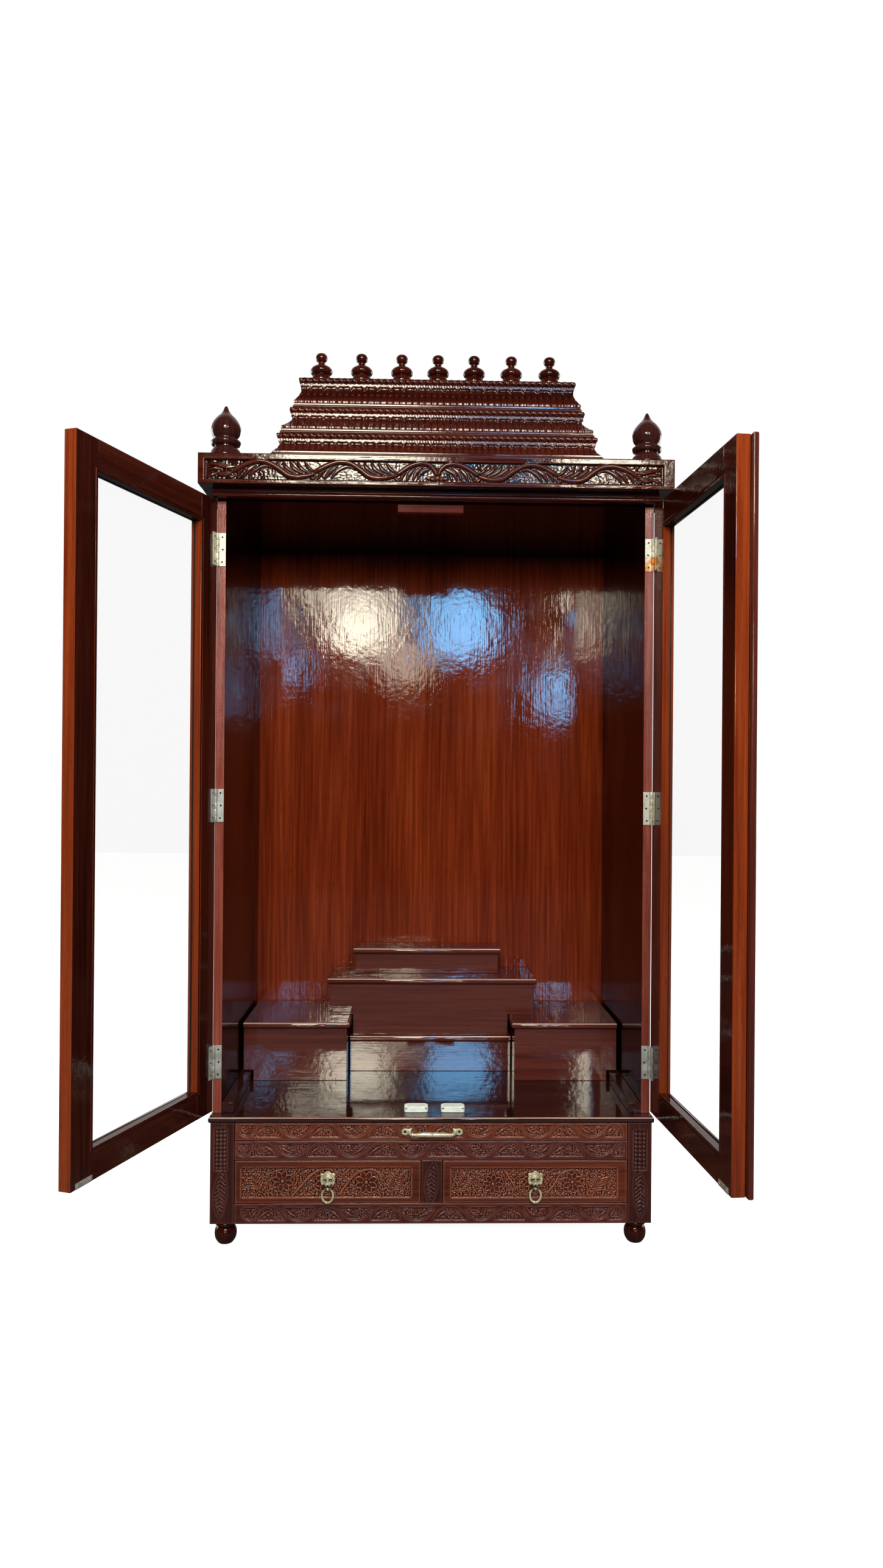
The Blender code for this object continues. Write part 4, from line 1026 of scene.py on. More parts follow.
low = Vector((CORNICE_LOW.x, CORNICE_LOW.y, CORNICE_BOTTOM))
high = Vector((CORNICE_HIGH.x, CORNICE_LOW.y + CORNICE_T, CORNICE_HIGH.z))
carved_board("carved_cornice_board", low, high, CORNICE_CELL, cornice_carving, WOODS["cornice"],
             "cabinet", ["cornice"])
RETURN_T = high.x - MIDDLE_X - HALF_W - 0.0003
for hand, x in (("left", low.x), ("right", high.x - RETURN_T)):
    plain_board(f"cornice_return_{hand}", (x, high.y - JOINT_BITE, low.z),
                (x + RETURN_T, CORNICE_HIGH.y, high.z), 0.001, "deep", "cornice")
plain_board("cornice_deck", (low.x + RETURN_T, high.y - JOINT_BITE, high.z - CORNICE_DECK),
            (high.x - RETURN_T, CORNICE_HIGH.y, high.z - 0.0002), 0.0006, "level", "cornice")
bead_moulding(low.z)

# ---- Gopuram ----

ROPE_HALF, FOOT_HALF = (0.331, 0.308, 0.291), (0.341, 0.325, 0.302)
FILLET_H, FASCIA_H, ROPE_R = 8.5, 9.0, 6.25
FLUTE, SCALLOP, STRAND, BEAD_ROW = 13.2, 28.0, 14.0, 7.5
HOLE_HALF, HOLE_BACK = ROPE_HALF[2] - 0.024, 0.024  # the hole down the tiers
TIER_CELL, SIDE_CELLS, REAR_CELLS = 0.0013, 190, 12
# the zones up a tier's face, and how much more painted highlight some of them take
FILLET, BEADS, FLUTES, FASCIA, ROPE = range(5)
HIGHLIGHT_LIFT = {BEADS: 0.2, FLUTES: 0.1, ROPE: 0.45}
FRONT, RIGHT, REAR, LEFT = range(4)   # the sides of a tier's plan


def tier_section(foot_half, rope_half, height, bead_row):
    """Up one tier's face: half width, height, zone and height within it, all in millimetres."""
    foot, rope = foot_half / MM, rope_half / MM
    fascia = rope - 4.5
    low, high = FILLET_H, height - 2 * ROPE_R - FASCIA_H + 1.0
    rows = [(foot - 2.3 + 2.3 * math.cos(a), 2.3 + 2.3 * math.sin(a), FILLET, 0.0)
            for a in np.linspace(-1.5, 1.35, 9)]
    rows += [(foot - 2.6, z, FILLET, 0.0) for z in np.linspace(4.9, low - 0.2, 4)]
    count = round(high - low)
    for i in range(count + 1):
        z = low + (high - low) * i / count
        f = max(0.0, (z - low - bead_row) / (high - low - bead_row))
        half = foot - 3.2 + (fascia - 1.5 - foot + 3.2) * math.sin(f * math.pi / 2)
        zone = BEADS if z - low < bead_row else FLUTES
        rows.append((half, z + 0.02, zone, z - low - (bead_row if zone == FLUTES else 0)))
    rows += [(fascia, high + z, FASCIA, z) for z in np.linspace(0.05, FASCIA_H - 0.2, 9)]
    for angle in np.linspace(-84, 90, 20):
        a = math.radians(angle)
        rows.append((rope - ROPE_R + ROPE_R * math.cos(a), height - ROPE_R + ROPE_R * math.sin(a),
                     ROPE, a))
    return rows, high - low - bead_row


def tier_relief(c, zone, v, flute_h, dots):
    """How far the carving stands out (+) or is cut in (-) at c along the face, in millimetres."""
    p = (c / FLUTE) % 1.0
    from_groove = np.minimum(p, 1 - p) * FLUTE
    from_pendant = np.abs((c / SCALLOP) % 1.0 - 0.5) * SCALLOP
    if zone == FILLET:
        return np.zeros(c.shape)
    if zone == BEADS:
        block = ease(from_groove, 0.4, 1.3) * ease(min(v, BEAD_ROW - v), -0.2, 1.2)
        return 2.2 * block - 1.1 + 0.25 * np.sin(c * 0.9 + 2 * np.sin(c * 0.31))
    if zone == FLUTES:
        cut = 0.5 * dome(2 * p - 1, 1.02) + 1.7 * np.exp(-(from_groove / 0.8) ** 2)
        boss = np.zeros(c.shape)
        for place in dots:
            away = np.hypot((p - 0.5) * FLUTE, v - place * flute_h)
            boss = np.maximum(boss, 1.7 * dome(away, 1.7))
        hanging = ease(0.62 * (v - flute_h + 5.5) - from_pendant, -0.3, 0.5)
        return np.where(hanging > 0.02, 1.8 * hanging, boss - cut)
    if zone == FASCIA:
        out = ((SCALLOP / 2 - from_pendant) / 11.5) ** 2 + ((v - 4.8) / 3.9) ** 2
        drop = ease(0.62 * (v + 6.0) - from_pendant, -0.3, 0.5)
        worn = np.sin(c * 0.9 + v) * np.sin(c * 0.23 - v * 0.7)
        return 1.5 * np.maximum(ease(1 - out, 0.0, 0.3), drop) + 0.12 * worn - 0.8
    strand = np.abs(np.sin(math.pi * c / STRAND + 0.95 * v))
    return -2.3 * (1 - strand ** 0.6) * ease(v, -1.6, -1.2) * ease(1.57 - v, 0.0, 0.35)


def gopuram_tier(level, name, dots):
    """One mitred tier: a ring of grid, closed round the plan and round its section."""
    node = f"gopuram_tier_{name}"
    low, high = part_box(node)
    height = (high.z - low.z) / MM
    bead_row = BEAD_ROW if level else 0.0
    rows, flute_h = tier_section(FOOT_HALF[level], ROPE_HALF[level], height, bead_row)
    front_of_zero = (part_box("gopuram_tier_low")[0].y + FOOT_HALF[0]) / MM
    back = high.y / MM
    hole = HOLE_HALF / MM
    across, side, rear = round(2 * FOOT_HALF[level] / TIER_CELL), SIDE_CELLS, REAR_CELLS
    columns = across + 2 * side + rear
    outer = len(rows)
    sections = outer + 2              # the inner wall's head and foot close the ring
    bm = bmesh.new()
    bmesh.ops.create_grid(bm, x_segments=columns, y_segments=sections, size=0.5)
    bm.verts.ensure_lookup_table()
    flat = np.array([v.co for v in bm.verts])
    column = np.round((flat[:, 0] + 0.5) * columns).astype(int) % columns
    row = np.round((flat[:, 1] + 0.5) * sections).astype(int) % sections
    spot, hollow = np.zeros((sections, columns, 3)), np.zeros((sections, columns))
    k = np.arange(columns)
    face = np.select([k <= across, k <= across + side, k <= across + side + rear],
                     [FRONT, RIGHT, REAR], LEFT)
    sides = [face == FRONT, face == RIGHT, face == REAR]
    where = np.select(sides, [k / across, (k - across) / side, (k - across - side) / rear],
                      (k - across - side - rear) / side)

    def plan(half):
        """Each column's place round the tier, at this half width."""
        front = front_of_zero - half
        x = np.select(sides, [-half + 2 * half * where, half + 0 * where,
                              half - 2 * half * where], -half)
        y = np.select(sides, [front + 0 * where, front + (back - front) * where,
                              back + 0 * where], back + (front - back) * where)
        return x, y
    for r, (half, z, zone, v) in enumerate(rows):
        before, after = rows[max(r - 1, 0)], rows[min(r + 1, outer - 1)]
        slope = math.hypot(after[0] - before[0], after[1] - before[1]) or 1.0
        out_half, out_z = (after[1] - before[1]) / slope, (before[0] - after[0]) / slope
        if zone == ROPE:
            out_half, out_z = math.cos(v), math.sin(v)
        x, y = plan(half)
        c = np.where((face == FRONT) | (face == REAR), x, y + 4.0)
        relief = tier_relief(c, zone, v, flute_h, dots) * (face != REAR)
        x, y = plan(half + out_half * relief)
        spot[r] = np.stack([x, y, z + out_z * relief * (zone != FILLET)], -1)
        # painted shade in the cuts, painted highlight on what stands proud, lifted more in some
        # zones
        hollow[r] = np.clip(-relief * 0.6 - 0.1 - HIGHLIGHT_LIFT.get(zone, 0.0), -1, 1)
    hole_front, hole_back = front_of_zero - hole, back - HOLE_BACK / MM
    for r, z in ((outer, height), (outer + 1, 0.0)):
        x, y = plan(hole)
        spot[r] = np.stack([x, np.clip(y, hole_front, hole_back), np.full(columns, z)], -1)
    layer = bm.verts.layers.float.new("hollow")
    places = spot[row, column] * MM + np.array((MIDDLE_X, 0.0, low.z))
    for v, place, shade in zip(bm.verts, places, hollow[row, column]):
        v.co, v[layer] = place, shade
    piece(f"carved_{node}", bm, WOODS["gopuram"], "cabinet", "carved_wood", [node], sharp=70)


LATHE_STEPS = 56
# turned profiles: runs of (radius, height) in millimetres, with an arris between runs
SMALL_FINIAL = (
    ((0, 0), (17.0, 0)),
    ((17.0, 0), (19.0, 1.0), (20.2, 4.5), (20.3, 9.0), (19.4, 13.4), (17.8, 16.2)),
    ((17.2, 16.8), (17.2, 17.8)),
    ((19.2, 18.4), (21.9, 20.6), (23.2, 24.2), (22.9, 28.0), (20.8, 32.0), (16.6, 35.4),
     (12.0, 37.2)),
    ((10.4, 37.7), (10.2, 38.4), (8.8, 38.8)),
    ((8.6, 38.9), (7.5, 40.6), (7.1, 42.8), (7.6, 45.2), (9.0, 46.8)),
    ((9.0, 46.8), (11.0, 48.8), (12.2, 52.4), (12.3, 56.2), (11.0, 60.2), (7.8, 63.2),
     (3.8, 64.4), (0, 64.5)))
CORNER_FINIAL = (
    ((0, 0), (33.0, 0)), ((33.0, 0), (33.5, 1.5), (33.4, 5.0), (32.4, 9.0)),
    ((31.2, 10.2), (30.6, 13.5), (28.4, 17.6), (24.6, 21.8)), ((23.4, 22.8), (23.4, 24.4)),
    ((24.4, 25.0), (29.0, 27.4), (31.0, 31.6), (30.4, 35.6), (26.8, 39.2)),
    ((24.4, 40.4), (24.2, 42.0)),
    ((24.8, 43.2), (28.4, 48.2), (30.5, 55.5), (30.6, 62.5), (28.6, 71.0), (24.4, 78.8),
     (18.6, 86.0), (12.0, 92.4), (7.4, 98.6), (4.8, 104.4), (2.6, 109.0), (0, 110.5)))
FOOT = (
    ((0, 0), (13.2, 0)),
    ((13.2, 0), (15.2, 1.2), (18.4, 5.2), (21.6, 11.6), (22.8, 20.0), (21.8, 28.0), (18.6, 33.8),
     (15.4, 36.0)),
    ((15.0, 36.6), (15.0, 37.4)),
    ((16.4, 37.9), (20.4, 38.8), (22.4, 41.0), (22.4, 43.6), (21.4, 46.2)),
    ((21.4, 46.2), (0, 46.2)))


def turned_piece(name, profile, place, finish, node):
    bm = turned([[(r * MM, z * MM) for r, z in run] for run in profile], LATHE_STEPS)
    bmesh.ops.translate(bm, vec=place, verts=bm.verts)
    piece(name, bm, WOODS[finish], "cabinet", "lacquered_wood", [node], sharp=50)


# heights of the bosses in each tier's flutes
BOSSES = {"low": (0.30, 0.62), "middle": (0.5,), "high": (0.5,)}
for level, (name, dots) in enumerate(BOSSES.items()):
    gopuram_tier(level, name, dots)
low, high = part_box("gopuram_deck")
DECK_TOP, FINIAL_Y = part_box("gopuram_tier_high")[1].z, 0.035
plain_board("gopuram_top_board", low, (high.x, high.y, DECK_TOP), 0.0005, "level", "gopuram_deck",
            "lacquered_wood")
for k, x in enumerate((-0.247, -0.1615, -0.076, 0.001, 0.078, 0.1575, 0.239)):
    turned_piece(f"row_finial_{k + 1}", SMALL_FINIAL, (MIDDLE_X + x, FINIAL_Y, DECK_TOP - 0.0001),
                 "turned", "gopuram_deck")
for hand in ("left", "right"):
    for node, profile, finish in ((f"corner_finial_{hand}", CORNER_FINIAL, "dark_turned"),
                                  (f"foot_front_{hand}", FOOT, "turned"),
                                  (f"foot_back_{hand}", FOOT, "turned")):
        turned_piece(f"turned_{node}", profile, foot_of(node), finish, node)

# ---- Plain boards and steps ----


PANEL_OUT = 0.0005                    # the side panels' outer faces come out to the hung doors


def sanded(node, finish, edge, slot="lacquered_wood"):
    """A plain CAD board with its edges eased and its nosings smooth, with a painted highlight along
    them.
    """
    bm = bmesh.new()
    bm.from_mesh(NODES[node].data)
    bmesh.ops.remove_doubles(bm, verts=bm.verts, dist=10 * WELD)
    bmesh.ops.dissolve_limit(bm, angle_limit=0.01, verts=bm.verts, edges=bm.edges)
    rounded(bm, hard_edges(bm), edge)
    finishes = [WOODS[finish]]
    if node.startswith(("step", "base_slab")):    # the rounded front edge takes a painted highlight
        finishes.append(WOODS["nosing"])
        for face in bm.faces:
            face.material_index = int(face.normal.y < -0.3 and 0.45 < face.normal.z < 0.9)
    if node.startswith("side_panel"):
        out = -1 if node.endswith("left") else 1
        finishes += [WOODS["panel_edge"], WOODS["panel_inside"]]    # 1 and 2 among its finishes
        # the front edge, index 1, is painted paler for the light that falls on it
        for face in bm.faces:
            # the inner face, index 2, is painted darker for the shade inside the cabinet
            face.material_index = 1 if face.normal.y < -0.4 else 2 * (face.normal.x * out < -0.7)
        side = max(out * v.co.x for v in bm.verts)
        for v in bm.verts:
            if out * v.co.x > side - 0.0002:
                v.co.x += out * PANEL_OUT
    piece(f"sanded_{node}", bm, finishes, "cabinet", slot, [node], flat=True)


for finish, edge, nodes in (
        ("slab", 0.0008, ["base_slab"]), ("level", 0.0006, ["base_floor", "tray_shelf"]),
        ("upright", 0.0010, ["base_side_left", "base_side_right"]),
        ("panel", 0.0004, ["side_panel_left", "side_panel_right"]),
        ("strip", 0.0010, ["floor_strip_left", "floor_strip_right"]),
        ("ceiling", 0.0008, ["top_panel"]), ("level", 0.0010, ["door_stop"]),
        ("level", 0.0008, ["step_block_left", "step_block_right", "step_low", "step_middle",
                           "step_top"])):
    for node in nodes:
        sanded(node, finish, edge)
sanded("back_panel", "veneer", 0.0005, "back_veneer")

# ---- Doors ----

DOOR_LOW_Z, DOOR_HIGH_Z = (corner.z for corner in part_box("left_door_frame"))
DOOR_T, DOOR_EDGE, STILE_W, RAIL_W = 0.024, 0.0015, 0.060, 0.056
REBATE, LIP, PANE_T = 0.007, 0.005, 0.004
DOOR_BACK = PANEL_LEFT[0].y - 0.006   # the faces of a closed door
DOOR_FRONT = DOOR_BACK - DOOR_T
PANE_LOW = (DOOR_EDGE + STILE_W, DOOR_FRONT + LIP, DOOR_LOW_Z + RAIL_W)
PANE_HIGH = (HALF_W - STILE_W, DOOR_BACK + 0.01, DOOR_HIGH_Z - RAIL_W)
BEAD_W = REBATE - 0.0004
HINGES = {side: JOINTS[f"{hand}_door_hinge"] for hand, side in SIDES}
PINS = {side: Vector(joint["pos_m"]) for side, joint in HINGES.items()}


def swung(side):
    """From a shut door to the door as it stands open at rest."""
    pin = Vector((PINS[side].x, PINS[side].y, 0))
    opening = math.radians(-HINGES[side]["range_deg"][0])
    return at(pin) @ about("Z", side * opening) @ at(-pin)


def shut(side, low, high):
    """A box on a shut door, x measured outwards from the middle: its two corners."""
    xs = sorted(MIDDLE_X + side * x for x in (low[0], high[0]))
    return (xs[0], low[1], low[2]), (xs[1], high[1], high[2])


def joined(parts):
    """Join parts, each a shape and its finish, and perhaps another finish for its ends."""
    bm, finishes = bmesh.new(), []
    for part, *pair in parts:
        finishes += [finish for finish in pair if finish not in finishes]
        bmesh.ops.recalc_face_normals(part, faces=part.faces)
        for face in part.faces:       # an end faces along X
            face.material_index = finishes.index(pair[-1 if abs(face.normal.x) > 0.7 else 0])
        add_mesh(bm, to_mesh(part, "part"))
    return bm, finishes


def hang(name, side, parts, slot, nodes=()):
    """Join parts made on the shut door, shade them, and swing them open with it."""
    body = "left_door" if side < 0 else "right_door"
    obj = piece(name, *joined(parts), body, slot, nodes, clean=False, flat=True)
    obj.data.transform(swung(side))


def door_frame(hand, side):
    """Two stiles and two rails, rebated for the pane, each board a closed shape of its own."""
    rebate = shut(side, (PANE_LOW[0] - REBATE, PANE_LOW[1], PANE_LOW[2] - REBATE),
                  (PANE_HIGH[0] + REBATE, PANE_HIGH[1], PANE_HIGH[2] + REBATE))
    parts = []
    for near, far, foot, head, board, ends in (
            (DOOR_EDGE, PANE_LOW[0], DOOR_LOW_Z, DOOR_HIGH_Z, "stile", "edge"),
            (PANE_HIGH[0], HALF_W, DOOR_LOW_Z, DOOR_HIGH_Z, "stile", "edge"),
            (PANE_LOW[0], PANE_HIGH[0], DOOR_LOW_Z, PANE_LOW[2], "rail", "rail"),
            (PANE_LOW[0], PANE_HIGH[0], PANE_HIGH[2], DOOR_HIGH_Z, "rail", "rail")):
        bm = block(*shut(side, (near, DOOR_FRONT, foot), (far, DOOR_BACK, head)))
        bm = cut_boxes(bm, rebate)
        bmesh.ops.remove_doubles(bm, verts=bm.verts, dist=10 * WELD)
        rounded(bm, hard_edges(bm), 0.0004 if far == HALF_W else 0.0010)
        parts.append((bm, DOOR_WOODS[hand, board], DOOR_WOODS[hand, ends]))
    hang(f"carpentered_{hand}_door_frame", side, parts, "lacquered_wood", [f"{hand}_door_frame"])


def glazing_bead(hand, side):
    """A mitred bead that holds the pane in its rebate, flush with the door's inner face."""
    low, high = shut(side, PANE_LOW, PANE_HIGH)
    back, front = DOOR_FRONT + LIP + PANE_T + 0.0005, DOOR_BACK - 0.0003
    bm = bmesh.new()
    bmesh.ops.create_grid(bm, x_segments=1, y_segments=1, size=0.5)
    bmesh.ops.transform(bm, verts=bm.verts, matrix=at(
        ((low[0] + high[0]) / 2, front, (low[2] + high[2]) / 2)) @ about("X", -QUARTER)
        @ Matrix.Diagonal((high[0] - low[0] + 2 * BEAD_W, high[2] - low[2] + 2 * BEAD_W, 1, 1)))
    middle = bm.faces[:]
    bmesh.ops.inset_region(bm, faces=middle, thickness=BEAD_W, use_boundary=True,
                           use_even_offset=True)
    bmesh.ops.delete(bm, geom=middle, context="FACES")
    drawn_out(bm, bm.faces[:], (0, back - front, 0))
    bmesh.ops.recalc_face_normals(bm, faces=bm.faces)
    rounded(bm, [e for e in hard_edges(bm) if all(abs(v.co.y - front) < 1e-5 for v in e.verts)],
            0.0012, 3)
    hang(f"{hand}_glazing_bead", side,
         [(bm, DOOR_WOODS[hand, "stile"], DOOR_WOODS[hand, "edge"])], "lacquered_wood")


for hand, side in SIDES:
    door_frame(hand, side)
    glazing_bead(hand, side)
    NODES[f"{hand}_door_glass"].material_slots[0].material = GLASS

low, high = shut(1, (DOOR_EDGE - 0.012, DOOR_FRONT - 0.0103, DOOR_LOW_Z),
                 (DOOR_EDGE + 0.022, DOOR_FRONT - 0.0003, DOOR_HIGH_Z))
hang("rounded_door_astragal", 1, [(block(low, high, 0.0024, 4), DOOR_WOODS["right", "astragal"])],
     "lacquered_wood", ["door_astragal"])

# ---- Screws and hinges ----


def screw_head():
    """A domed screw head with a crossed slot, one unit in radius and facing -Y."""
    bm = turned([((0.0, 0.34), (0.5, 0.30), (0.9, 0.14)), ((0.9, 0.14), (1.0, 0.0)),
                 ((1.0, 0.0), (0.9, -0.3)), ((0.9, -0.3), (0.0, -0.3))], 20, 2)
    bmesh.ops.recalc_face_normals(bm, faces=bm.faces)
    bm = cut_boxes(bm, ((-0.60, -0.11, 0.08), (0.60, 0.11, 1.0)),
                   ((-0.11, -0.60, 0.08), (0.11, 0.60, 1.0)))
    bmesh.ops.transform(bm, matrix=about("X", QUARTER), verts=bm.verts)
    return to_mesh(bm, "screw")


SCREW = screw_head()
LEAF_H, LEAF_W, LEAF_T, KNUCKLE_R, KNUCKLES = 0.0690, 0.0134, 0.0016, 0.0024, 5
LEAF_CLEAR, PLAY, LEAF_EDGE, PIN_OUT = 0.0004, 0.0003, 0.0004, 0.003
# each hinge screw: its height up the leaf, and how far it strays sideways
LEAF_SCREWS = ((0.0085, 0.0008), (0.0345, -0.0006), (0.0605, 0.0003))


def hinge_leaf(hand, side, level, kind):
    """One leaf of a butt hinge: plate, knuckles, and its three countersunk screws."""
    node = f"{hand}_hinge_{level}_{kind}_leaf"
    first, toward = (0, 1) if kind == "cabinet" else (1, -1)
    pin = PINS[side]
    z0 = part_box(f"{hand}_hinge_{level}_cabinet_leaf")[0].z
    on_wood = PIN_OUT - PLAY
    ys = sorted((pin.y + toward * on_wood, pin.y + toward * (on_wood - LEAF_T)))
    edge_x = abs(pin.x - MIDDLE_X) - KNUCKLE_R - LEAF_CLEAR
    bm = block(*shut(side, (edge_x - LEAF_W, ys[0], z0), (edge_x, ys[1], z0 + LEAF_H)), LEAF_EDGE)
    pitch = LEAF_H / KNUCKLES
    half = pitch / 2 - PLAY
    for i in range(first, KNUCKLES, 2):
        centre = z0 + (i + 0.5) * pitch
        block(*shut(side, (edge_x - 0.001, ys[0], centre - half),
                    (abs(pin.x - MIDDLE_X), ys[1], centre + half)), bm=bm)
        rod = add_cone(bm, KNUCKLE_R, KNUCKLE_R, 2 * half, at((pin.x, pin.y, centre)), 20)
        rounded(bm, [e for e in {e for v in rod for e in v.link_edges}
                     if abs(e.verts[0].co.z - e.verts[1].co.z) < 1e-6], LEAF_EDGE)
    if kind == "cabinet":             # the pin's two ends
        for z in (z0 - 0.0004, z0 + LEAF_H - 0.0002):
            add_cone(bm, 0.0012, 0.0010, 0.0010, at((pin.x, pin.y, z)), 16)
    face_y, facing = (ys[0], 0) if kind == "cabinet" else (ys[1], math.pi)
    screws = add_mesh(bmesh.new(), SCREW, *(
        at((MIDDLE_X + side * (edge_x - LEAF_W / 2 + stray), face_y, z0 + z))
        @ about("Z", facing) @ about("Y", k * 0.9 + side)
        @ Matrix.Diagonal((0.0021, 0.0006, 0.0021, 1))
        for k, (z, stray) in enumerate(LEAF_SCREWS)))
    parts = [(bm, HINGE_FINISHES[hand, level]), (screws, DARK_STEEL)]
    if kind == "door":
        hang(f"fitted_{node}", side, parts, "hinge_metal", [node])
    else:
        piece(f"fitted_{node}", *joined(parts), "cabinet", "hinge_metal", [node], clean=False,
              flat=True)


for hand, side in SIDES:
    for level in ("low", "middle", "high"):
        for kind in ("cabinet", "door"):
            hinge_leaf(hand, side, level, kind)

STRIKE_W, STRIKE_H, STRIKE_X, STRIKE_Z = 0.044, 0.0105, 0.0360, DOOR_LOW_Z + 0.0008
for hand, side in SIDES:
    low, high = shut(side, (STRIKE_X - STRIKE_W / 2, DOOR_BACK + 0.0002, STRIKE_Z),
                     (STRIKE_X + STRIKE_W / 2, DOOR_BACK + 0.0016, STRIKE_Z + STRIKE_H))
    screws = add_mesh(bmesh.new(), SCREW, *(
        at(((low[0] + high[0]) / 2 + end * 0.0165, high[1], STRIKE_Z + STRIKE_H / 2))
        @ about("Z", math.pi) @ Matrix.Diagonal((0.0030, 0.0034, 0.0030, 1)) for end in (-1, 1)))
    hang(f"{hand}_strike_plate", side, [(block(low, high, 0.0005), STRIKE), (screws, STRIKE)],
         "hinge_metal")

# ---- Cast brass ----


def ball(bm, centre, radii, lean=0.0):
    """A stretched ball, in millimetres, leaning about Y by lean."""
    bmesh.ops.create_uvsphere(bm, u_segments=20, v_segments=12, radius=1.0, matrix=at(centre)
                              @ about("Y", lean) @ Matrix.Diagonal((*radii, 1.0)))


def balls(bm, pairs, singles):
    """Balls at both sides, given for the right one, and balls at the middle."""
    for side in (-1, 1):
        for (x, y, z), radii, lean in pairs:
            ball(bm, (side * x, y, z), radii, side * lean)
    for centre, radii in singles:
        ball(bm, centre, radii)


def limb(bm, points, radii):
    """A tapering round bar through the points."""
    path = run_through(points, 4)
    width = np.interp(np.linspace(0, 1, len(path)), np.linspace(0, 1, len(radii)), radii)
    loops = []
    for i, (here, r) in enumerate(zip(path, width)):
        way = Vector(path[min(i + 1, len(path) - 1)] - path[max(i - 1, 0)])
        matrix = at(here) @ way.to_track_quat("Z", "Y").to_matrix().to_4x4()
        ring = bmesh.ops.create_circle(bm, segments=14, radius=r, matrix=matrix)["verts"]
        loops.append(list({e for v in ring for e in v.link_edges}))
    for one, two in zip(loops, loops[1:]):
        bmesh.ops.bridge_loops(bm, edges=one + two)
    for end in (loops[0], loops[-1]):
        bmesh.ops.edgeloop_fill(bm, edges=end)


def softened(bm, rounds):
    for _ in range(rounds):
        bmesh.ops.smooth_vert(bm, verts=bm.verts, factor=0.5, use_axis_x=True, use_axis_y=True,
                              use_axis_z=True)
    return bm


def cast(bm, voxel, rounds):
    """Fuse overlapping shapes into one skin, as a casting has."""
    bmesh.ops.recalc_face_normals(bm, faces=bm.faces)
    return softened(through(bm, "REMESH", mode="VOXEL", voxel_size=voxel), rounds)


def note_hollows(bm, rounds, gain, extra=None):
    """Mark how far each point lies below its surroundings, for the metal to be darkened there."""
    bm.normal_update()
    here = np.array([v.co for v in bm.verts])
    normals = np.array([v.normal for v in bm.verts])
    soft = softened(bm.copy(), rounds)
    moved = np.array([v.co for v in soft.verts]) - here
    soft.free()
    depth = np.clip((moved * normals).sum(1) * gain, 0, 1)
    if extra is not None:
        depth = np.maximum(depth, extra(here))
    layer = bm.verts.layers.float.new("hollow")
    for v, d in zip(bm.verts, depth):
        v[layer] = d


LION_EYES, LION_CELL = ((-5.4, -2.0), (5.4, -2.0)), 0.42
# centre, radii and lean of the ears, cheeks, jowls, crown, brow locks, brows and muzzle
LION_PAIRS = (
    ((11.2, -3.2, 8.6), (4.5, 3.2, 5.0), 0.3), ((12.4, -3.0, 0.2), (3.2, 3.2, 7.0), -0.12),
    ((11.4, -3.0, -7.6), (2.8, 2.8, 4.6), 0.35), ((1.9, -4.2, 15.4), (2.5, 2.4, 2.7), 0),
    ((5.2, -4.2, 12.4), (3.0, 2.6, 2.6), 0.5), ((4.8, -6.8, 4.6), (4.3, 2.2, 1.9), 0.45),
    ((3.2, -6.4, -9.4), (3.0, 2.5, 2.5), 0))
# forehead, ridge of the nose, its tip, jaw and chin
LION_MIDDLE = (((0, -5.2, 6.4), (6.8, 3.6, 4.6)), ((0, -7.8, -0.6), (2.3, 2.4, 7.6)),
               ((0, -8.7, -7.6), (3.1, 2.0, 2.2)), ((0, -3.6, -14.0), (6.2, 3.0, 4.4)),
               ((0, -5.2, -18.4), (3.6, 4.2, 4.4)))


def lion_head():
    """A stylised lion's head in a mane, in millimetres about its brow, facing -Y."""
    bm = bmesh.new()
    ball(bm, (0, -1.0, -1.0), (13.0, 2.6, 14.0))
    balls(bm, LION_PAIRS, LION_MIDDLE)
    bm = cast(bm, LION_CELL, 1)
    hollows = bmesh.new()
    for x, z in LION_EYES:
        ball(hollows, (x, -7.2, z), (3.1, 4.0, 3.6), 0.3 * math.copysign(1, x))
    ball(hollows, (0, -6.6, 11.6), (2.4, 3.0, 1.9))
    balls(hollows, (((10.6, -6.8, 7.6), (1.9, 2.4, 2.6), 0),
                    ((9.0, -6.4, -4.6), (1.7, 3.0, 4.6), -0.15)),
          (((0, -8.4, -13.4), (3.4, 2.6, 2.4)),))
    add_cone(hollows, 2.7, 2.7, 40, at((0, -5.7, -17.6)) @ about("Y", QUARTER), 20)
    bm = cut_away(bm, hollows)
    for x, z in LION_EYES:
        ball(bm, (x * 1.02, -4.6, z), (1.8, 1.8, 1.9))
    for side in (-1, 1):
        ball(bm, (side * 3.4, -6.6, -12.6), (1.0, 1.0, 1.2))
    bm = cast(bm, LION_CELL, 2)

    # painted shade: the eye sockets round the eyeballs and the mouth below the nose, but not its
    # teeth, are marked fully dark
    def socket_shade(here):
        dark = np.zeros(len(here))
        for x, z in LION_EYES:
            away = np.hypot(here[:, 0] - x, here[:, 2] - z)
            dark = np.maximum(dark, ((away < 3.3) & (here[:, 1] > -6.0)) * 1.0
                              * (np.hypot(here[:, 0] - x * 1.02, here[:, 2] - z) > 1.3))
        mouth_shade = (here[:, 2] < -10.6) & (here[:, 1] > -7.5) & (np.abs(here[:, 0]) < 8.5)
        teeth = np.hypot(np.abs(here[:, 0]) - 3.4, here[:, 2] + 12.6) < 1.2
        return np.maximum(dark, mouth_shade & ~teeth)
    note_hollows(bm, 14, 1.1, socket_shade)
    bmesh.ops.recalc_face_normals(bm, faces=bm.faces)
    return bm


LION = to_mesh(lion_head(), "lion_head")


